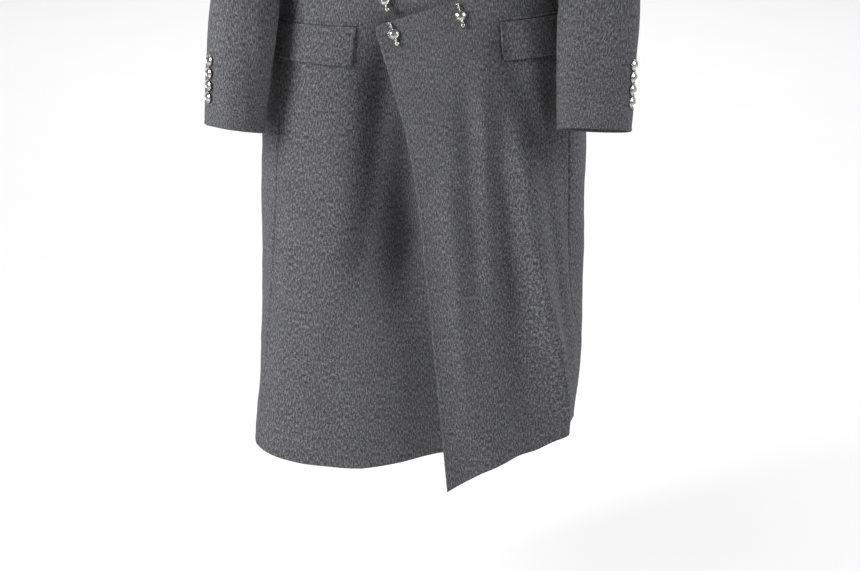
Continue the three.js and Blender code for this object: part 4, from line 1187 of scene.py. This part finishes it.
# %% The pockets
# x of the inner end at the top, z of the top, length, depth, how far the inner end slants out, how far
# the top, the foot and the jet's top rise to the outer end, and the jet's width
FLAP_COLUMNS = "inner top length depth slant top_rise foot_rise jet_rise jet"
FLAPS = {side: dict(zip(FLAP_COLUMNS.split(), row)) for side, row in {
    "right": (95, -505, 148, 56, 8, 0, 7, 1, 5),
    "left": (108, -499, 148, 54, 6, 8, 8, 4, 6),
}.items()}
FLAP_CORNER = 7  # radius of the two lower corners
JET_PAST = 1.5  # how far a jet runs past its flap at each end
JET_HALF, JET_INSET, JET_LIFT = 1.9, 1.8, 2.2
JET_GAP = 0.2
STRIP_ROWS, STRIP_COLUMNS = 40, 60  # cells of the coarse grid of turns under a strip


def walk(side, start, level, distance):
    """The turn reached by going round the form from a start turn, away from the front: distances are
    summed along a fine row of turns and looked up."""
    turns = start[:, None] + SIGN[side] * np.linspace(0, 75, 301)
    row = form_point(turns, level[:, None])
    gone = np.cumsum(np.linalg.norm(np.diff(row, axis=1, prepend=row[:, :1]), axis=-1), axis=1)
    return np.array([np.interp(distance, g, t) for g, t in zip(gone, turns)])


def pocket_strip(side, along, down, top, foot, inner, length, lift):
    """Points of a strip on the front at shares along and down it. Its long edges have a z at the inner
    end and rise to the outer end, and its inner end goes evenly from one x to another. The turns of a
    coarse grid are mixed between its points."""
    rows = np.linspace(0, 1, STRIP_ROWS + 1)
    level = mix(top[0], foot[0], rows) - UNDERARM_Z
    start = turn_at(SIGN[side] * (inner[0] + inner[1] * rows), level)
    turns = walk(side, start, level, np.linspace(0, 1, STRIP_COLUMNS + 1) * length)
    i, j = (np.clip(share * count, 0, count - 0.001)
            for share, count in ((down, STRIP_ROWS), (along, STRIP_COLUMNS)))
    r, c = i.astype(int), j.astype(int)
    upper, lower = (mix(turns[row, c], turns[row, c + 1], j - c) for row in (r, r + 1))
    z = mix(top[0], foot[0], down) + mix(top[1], foot[1], down) * along
    return on_coat(side, mix(upper, lower, i - r), z - UNDERARM_Z, lift)


# %% The flaps and jets
def make_flap(side):
    """Rounded at the two lower corners, and lifted by a low swell that is highest near its foot."""
    f = FLAPS[side]
    length, depth = f["length"], f["depth"]
    b = (1 - stations(depth, 22)[0][:, None]) * depth
    a, b = np.broadcast_arrays(stations(length, 60)[0] * length, b)
    near = a < length - a
    new_a, new_b, edge = rounded(np.minimum(a, length - a), b, FLAP_CORNER)
    along, down = np.where(near, new_a, length - new_a) / length, 1 - new_b / depth
    lift = REST + CLOTH + 0.6 + 1.5 * np.sin(math.pi * along) ** 0.7 * down + 0.8 * down**2
    top, foot = (f["top"], f["top_rise"]), (f["top"] - depth, f["foot_rise"])
    points, normals = pocket_strip(side, along, down, top, foot, (f["inner"], f["slant"]), length, lift)
    relief, inset = turned_edge(edge, 3.2, 6.0)
    relief -= 1.2 * bell(depth - b, 2.2)
    uv = np.stack([SIGN[side] * along * length, new_b], -1)
    cut_and_sew(f"pocket_flap_{side}", points, normals, uv, relief, inset)


def make_jet(side):
    """A narrow folded strip, round like a cord along its whole length."""
    f = FLAPS[side]
    length = f["length"] + 2 * JET_PAST
    down, along = np.broadcast_arrays(np.linspace(0, 1, 15)[:, None], stations(length, 60)[0])
    lower = f["top"] + JET_GAP
    foot, top = (lower, f["top_rise"]), (lower + f["jet"], f["jet_rise"])
    inner = f["inner"] - JET_PAST, 0
    points, normals = pocket_strip(side, along, down, top, foot, inner, length, JET_LIFT)
    round_off = JET_HALF * (1 - np.sqrt(1 - np.clip(np.abs(2 * down - 1), 0, 0.995) ** 2))
    ends = quarter(np.minimum(along, 1 - along) * f["length"], 1.8)
    uv = np.stack([along * f["length"], -down * f["jet"]], -1)
    relief, inset = -round_off - ends * 0.6, JET_INSET + 0 * down
    cut_and_sew(f"pocket_jet_{side}", points, normals, uv, relief, inset)


for side in SIGN:
    make_flap(side)
    make_jet(side)

# %% [markdown]
# ## Metal
# The pins and the cuff buttons are cast and polished. One group gives the three effects that make
# polished metal believable: fine scratches in the roughness, a height for a slight waviness of the
# normal, and spots of tarnish for the colour.


# %% The wear group and the metal
def make_wear():
    """Roughness = even part + scratches * their share, a height from soft hammering of the surface,
    and spots of tarnish."""
    group, given, result = new_group(
        "polish_wear", {"Place": None, "Even": 0.12, "Scratches": 0.2}, ["Roughness", "Height", "Tarnish"])
    place, even, share = (given.outputs[label] for label in ("Place", "Even", "Scratches"))
    scratch = noise(group, stretched(group, place, (900, 900, 5200)), 1, 3)
    plug(group, result, {
        "Roughness": math_node(group, "MULTIPLY_ADD", scratch, share, even),
        "Height": noise(group, place, 420, 2),
        "Tarnish": noise(group, place, 160, 4),
    })
    return group


WEAR = make_wear()


def make_metal(name, bright, dull, even, scratches, waves):
    """Principled metal: its colour goes between bright and dull by the tarnish."""
    material, tree, shader = new_material(name)
    place = add_node(tree, "ShaderNodeTexCoord", {}).outputs["Object"]
    wear = add_node(tree, "ShaderNodeGroup", {}, node_tree=WEAR)
    plug(tree, wear, {"Place": place, "Even": even, "Scratches": scratches})
    plug(tree, shader, {
        "Base Color": ramp(tree, wear.outputs["Tarnish"], (0.42, dull), (0.62, bright)),
        "Roughness": wear.outputs["Roughness"], "Metallic": 1,
        "Normal": bump(tree, wear.outputs["Height"], 1.0, waves),
    })
    return material


SILVER = make_metal("silver", (0.74, 0.73, 0.71), (0.42, 0.41, 0.40), 0.08, 0.22, 0.0002)
print("metal:", SILVER.name, "with", len(WEAR.nodes), "nodes of wear")

# %% [markdown]
# ## Turned pieces
# A turned piece is a profile carried round an axis. Its poles are single points closed by a fan of
# triangles, so that the piece is one watertight skin.


# %% Turning a profile
def turned(profile, around=48, finer=5):
    """Points (r cos, r sin, height) of a smooth profile that starts and ends on the axis, and faces."""
    profile = np.asarray(profile, float)
    line = smooth_line(profile, np.linspace(0, len(profile) - 1, (len(profile) - 1) * finer + 1))
    line[:, 0] = np.maximum(line[:, 0], 0)
    body = line[1:-1]
    angle = 2 * math.pi * np.arange(around) / around
    rings = np.stack([body[:, :1] * np.cos(angle), body[:, :1] * np.sin(angle), body[:, 1:] + 0 * angle], -1)
    points = np.concatenate([rings.reshape(-1, 3), [[0, 0, line[0, 1]], [0, 0, line[-1, 1]]]])
    n = np.arange(len(body) * around).reshape(len(body), around)
    m = np.roll(n, -1, axis=1)
    quads = np.stack([n[:-1], m[:-1], m[1:], n[1:]], -1).reshape(-1, 4)
    low, high = len(points) - 2, len(points) - 1
    fans = [np.stack([m[0], n[0], n[0] * 0 + low], -1), np.stack([n[-1], m[-1], n[-1] * 0 + high], -1)]
    return points, [quads, np.concatenate(fans)]


def placed(points, at, normal, up):
    """Turns points so that their Z follows the normal and their Y is as near as it can be to up."""
    across = unit(np.cross(up, normal))
    return at + points @ np.stack([across, np.cross(normal, across), normal])


def metal_piece(name, parts, place, node):
    """One mesh from several closed skins, put in place, which takes over from its plain solid."""
    points, faces, count = [], {}, 0
    for skin, groups in parts:
        for group in groups:
            faces.setdefault(group.shape[1], []).append(group + count)
        points.append(skin)
        count += len(skin)
    points = np.concatenate(points)
    joined = [np.concatenate(group) for group in faces.values()]
    piece = make_mesh(name, placed(points, *place), joined, points[:, :2], SILVER)
    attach(piece, "root")
    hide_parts(node)
    return piece


# %% [markdown]
# ## Cuff buttons
# Four round metal buttons sit almost edge to edge above each cuff. Each has a rolled rim, a groove inside it
# and a low dome.

# %% Cuff buttons
BUTTON_PITCH, BUTTON_FIRST, BUTTON_GAP = 17.4, 41.5, 0.2
BUTTON_TURN = {"right": 33, "left": 24}  # round the sleeve from its outer side
BUTTON_PROFILE = [(0, 0), (4, 0), (7.3, 0), (8.2, 0.4), (8.5, 1.0), (8.2, 1.75), (7.5, 2.0), (6.8, 1.6),
                  (6.4, 1.3), (5.8, 1.7), (4.4, 2.7), (2.4, 3.3), (0, 3.5)]


def cuff_place(side, above):
    """A point on a sleeve's outside this far above the cuff, its normal, and the way up."""
    numbers = np.linspace(0, LAST_RING, 2401)
    heights = curve(RINGS[side], numbers, "outZ")
    number = np.interp(-(heights[-1] + above), -heights, numbers)
    turn = BUTTON_TURN[side]
    around = np.diff(ring_point(side, number, [turn - 2, turn + 2]), axis=0)[0]
    down = np.diff(ring_point(side, [number - 0.1, number + 0.1], turn), axis=0)[0]
    normal = unit(np.cross(around, down) * SIGN[side])
    return ring_point(side, number, turn) + normal * BUTTON_GAP, normal, np.array([0, 0, 1.0])


for side in SIGN:
    for i in range(4):
        name = f"button_{side}_{i + 1}"
        place = cuff_place(side, BUTTON_FIRST + BUTTON_PITCH * i)
        metal_piece(name, [turned(BUTTON_PROFILE)], place, "cuff_" + name)
print("8 cuff buttons,", len(turned(BUTTON_PROFILE)[0]), "points each")

# %% [markdown]
# ## Bar pins
# Two fronts of heavy wool are held by pins rather than by sewn buttons. Each is a round bar that passes
# through a domed stud, with a small bead at its head and a ball at its foot.

# %% Bar pins
PIN = dict(above=16, below=14, bar=1.6, bead=2.3, ball=3.7)
STUD = [(0, -2.9), (2.0, -2.9), (2.4, -2.2), (2.3, -1.4), (5.5, -0.9), (7.2, -0.5), (7.6, 0.1), (7.3, 0.8),
        (6.6, 0.9), (6.1, 0.8), (5.4, 1.5), (3.6, 2.6), (1.8, 3.1), (0, 3.2)]
# side, x, z, lean in degrees, and the gap behind it
PINS = {"pin_lap": ("left", -41, -514, 20, 0.2), "pin_top": ("left", 52, -489, 14, 0.4),
        "pin_under": ("right", -54, -467, 16, 2.0)}


def along_bar(skin, middle=0):
    """Lays a turned piece's axis along the bar, with its own middle at this height."""
    points, faces = skin
    return points[:, [0, 2, 1]] * [1, 1, -1] + [0, middle, 0], faces


def ball(radius, middle):
    """A sphere as a turned half circle."""
    angle = np.radians(np.linspace(-90, 90, 9))
    half = radius * np.stack([np.cos(angle), np.sin(angle)], -1)
    half[[0, -1], 0] = 0
    return along_bar(turned(half, 32, 3), middle)


def bar_pin():
    """The bar with a fine collar at each end, its bead and ball, and the stud that it passes through."""
    r, top, foot = PIN["bar"], PIN["above"], -PIN["below"]
    bar = [(0, foot), (r, foot + 0.2), (r, foot + 4), (r * 1.35, foot + 4.6), (r, foot + 5.2), (r * 0.9, 0),
           (r, top - 5.2), (r * 1.35, top - 4.6), (r, top - 4), (r, top - 0.2), (0, top)]
    bead, end = ball(PIN["bead"], top), ball(PIN["ball"], foot)
    return [along_bar(turned(bar, 24, 4)), bead, end, turned(STUD, 56, 4)]


for name, (side, x, z, lean, gap) in PINS.items():
    at, normal = on_front(side, np.array(float(x)), np.array(float(z)))
    up = np.array([-math.sin(math.radians(lean)), 0, math.cos(math.radians(lean))])
    metal_piece(f"bar_{name}", bar_pin(), (at + normal * (PIN["ball"] + gap), normal, up), name)
print("3 bar pins,", sum(len(points) for points, _ in bar_pin()), "points each")

# %% [markdown]
# ## Light
# Two soft lights stand to the left and the right, somewhat above the shoulders, and look down at the
# skirt. They graze the cloth, so that every low fold shows as a light and a dark side. The left one is
# stronger and smaller. A wide light far behind lies over the pale floor, and a dim white surround
# fills the shadows.


# %% Lights
def area_light(name, at, aim, size, watts):
    """A rectangular light whose -Z looks from its place at the point that it aims at."""
    lamp = bpy.data.lights.new(name, "AREA")
    lamp.shape, lamp.size, lamp.size_y, lamp.energy = "RECTANGLE", size[0], size[1], watts
    dx, dy, dz = (b - a for a, b in zip(at, aim))
    new_object(name, lamp, at, (math.atan2(math.hypot(dx, dy), -dz), 0, math.atan2(dy, dx) - math.pi / 2))


area_light("left", (-1.56, -1.18, 0.10), (0, 0, -0.75), (0.6, 1.0), 44)
area_light("right", (2.20, -0.55, 0.30), (0, 0, -0.75), (1.6, 1.4), 31)
area_light("over_floor", (0, 5.5, 3.2), (0, 5.5, -1.5), (11, 9), 480)

# %% [markdown]
# ## Floor and surround
# The floor is one wide pale plane, some way below the hem.

# %% Floor
FLOOR_Z = -1.52
SURROUND = 0.22


def make_floor():
    """A plane of four corners, wide enough to fill the view."""
    corners = [(-12, -8, FLOOR_Z), (12, -8, FLOOR_Z), (12, 16, FLOOR_Z), (-12, 16, FLOOR_Z)]
    mesh = bpy.data.meshes.new("floor")
    mesh.from_pydata(corners, [], [(0, 1, 2, 3)])
    material, tree, shader = new_material("floor_paint")
    place = add_node(tree, "ShaderNodeTexCoord", {}).outputs["Object"]
    level = math_node(tree, "MULTIPLY_ADD", noise(tree, place, 3, 3), 0.02, 0.89)
    shade = add_node(tree, "ShaderNodeCombineColor", {0: level, 1: level, 2: level}).outputs[0]
    plug(tree, shader, {"Base Color": shade, "Roughness": 0.9, "Specular IOR Level": 0.1})
    mesh.materials.append(material)
    new_object("floor", mesh)


def make_surround():
    world = bpy.data.worlds.new("surround")
    world.use_nodes = True
    plug(world.node_tree, world.node_tree.nodes["Background"], {"Color": (1, 1, 1, 1), "Strength": SURROUND})
    bpy.context.scene.world = world
    bpy.context.scene.view_settings.view_transform = "Standard"


make_floor()
make_surround()
print("stage:", round(1000 * FLOOR_Z), "mm floor, surround", SURROUND)
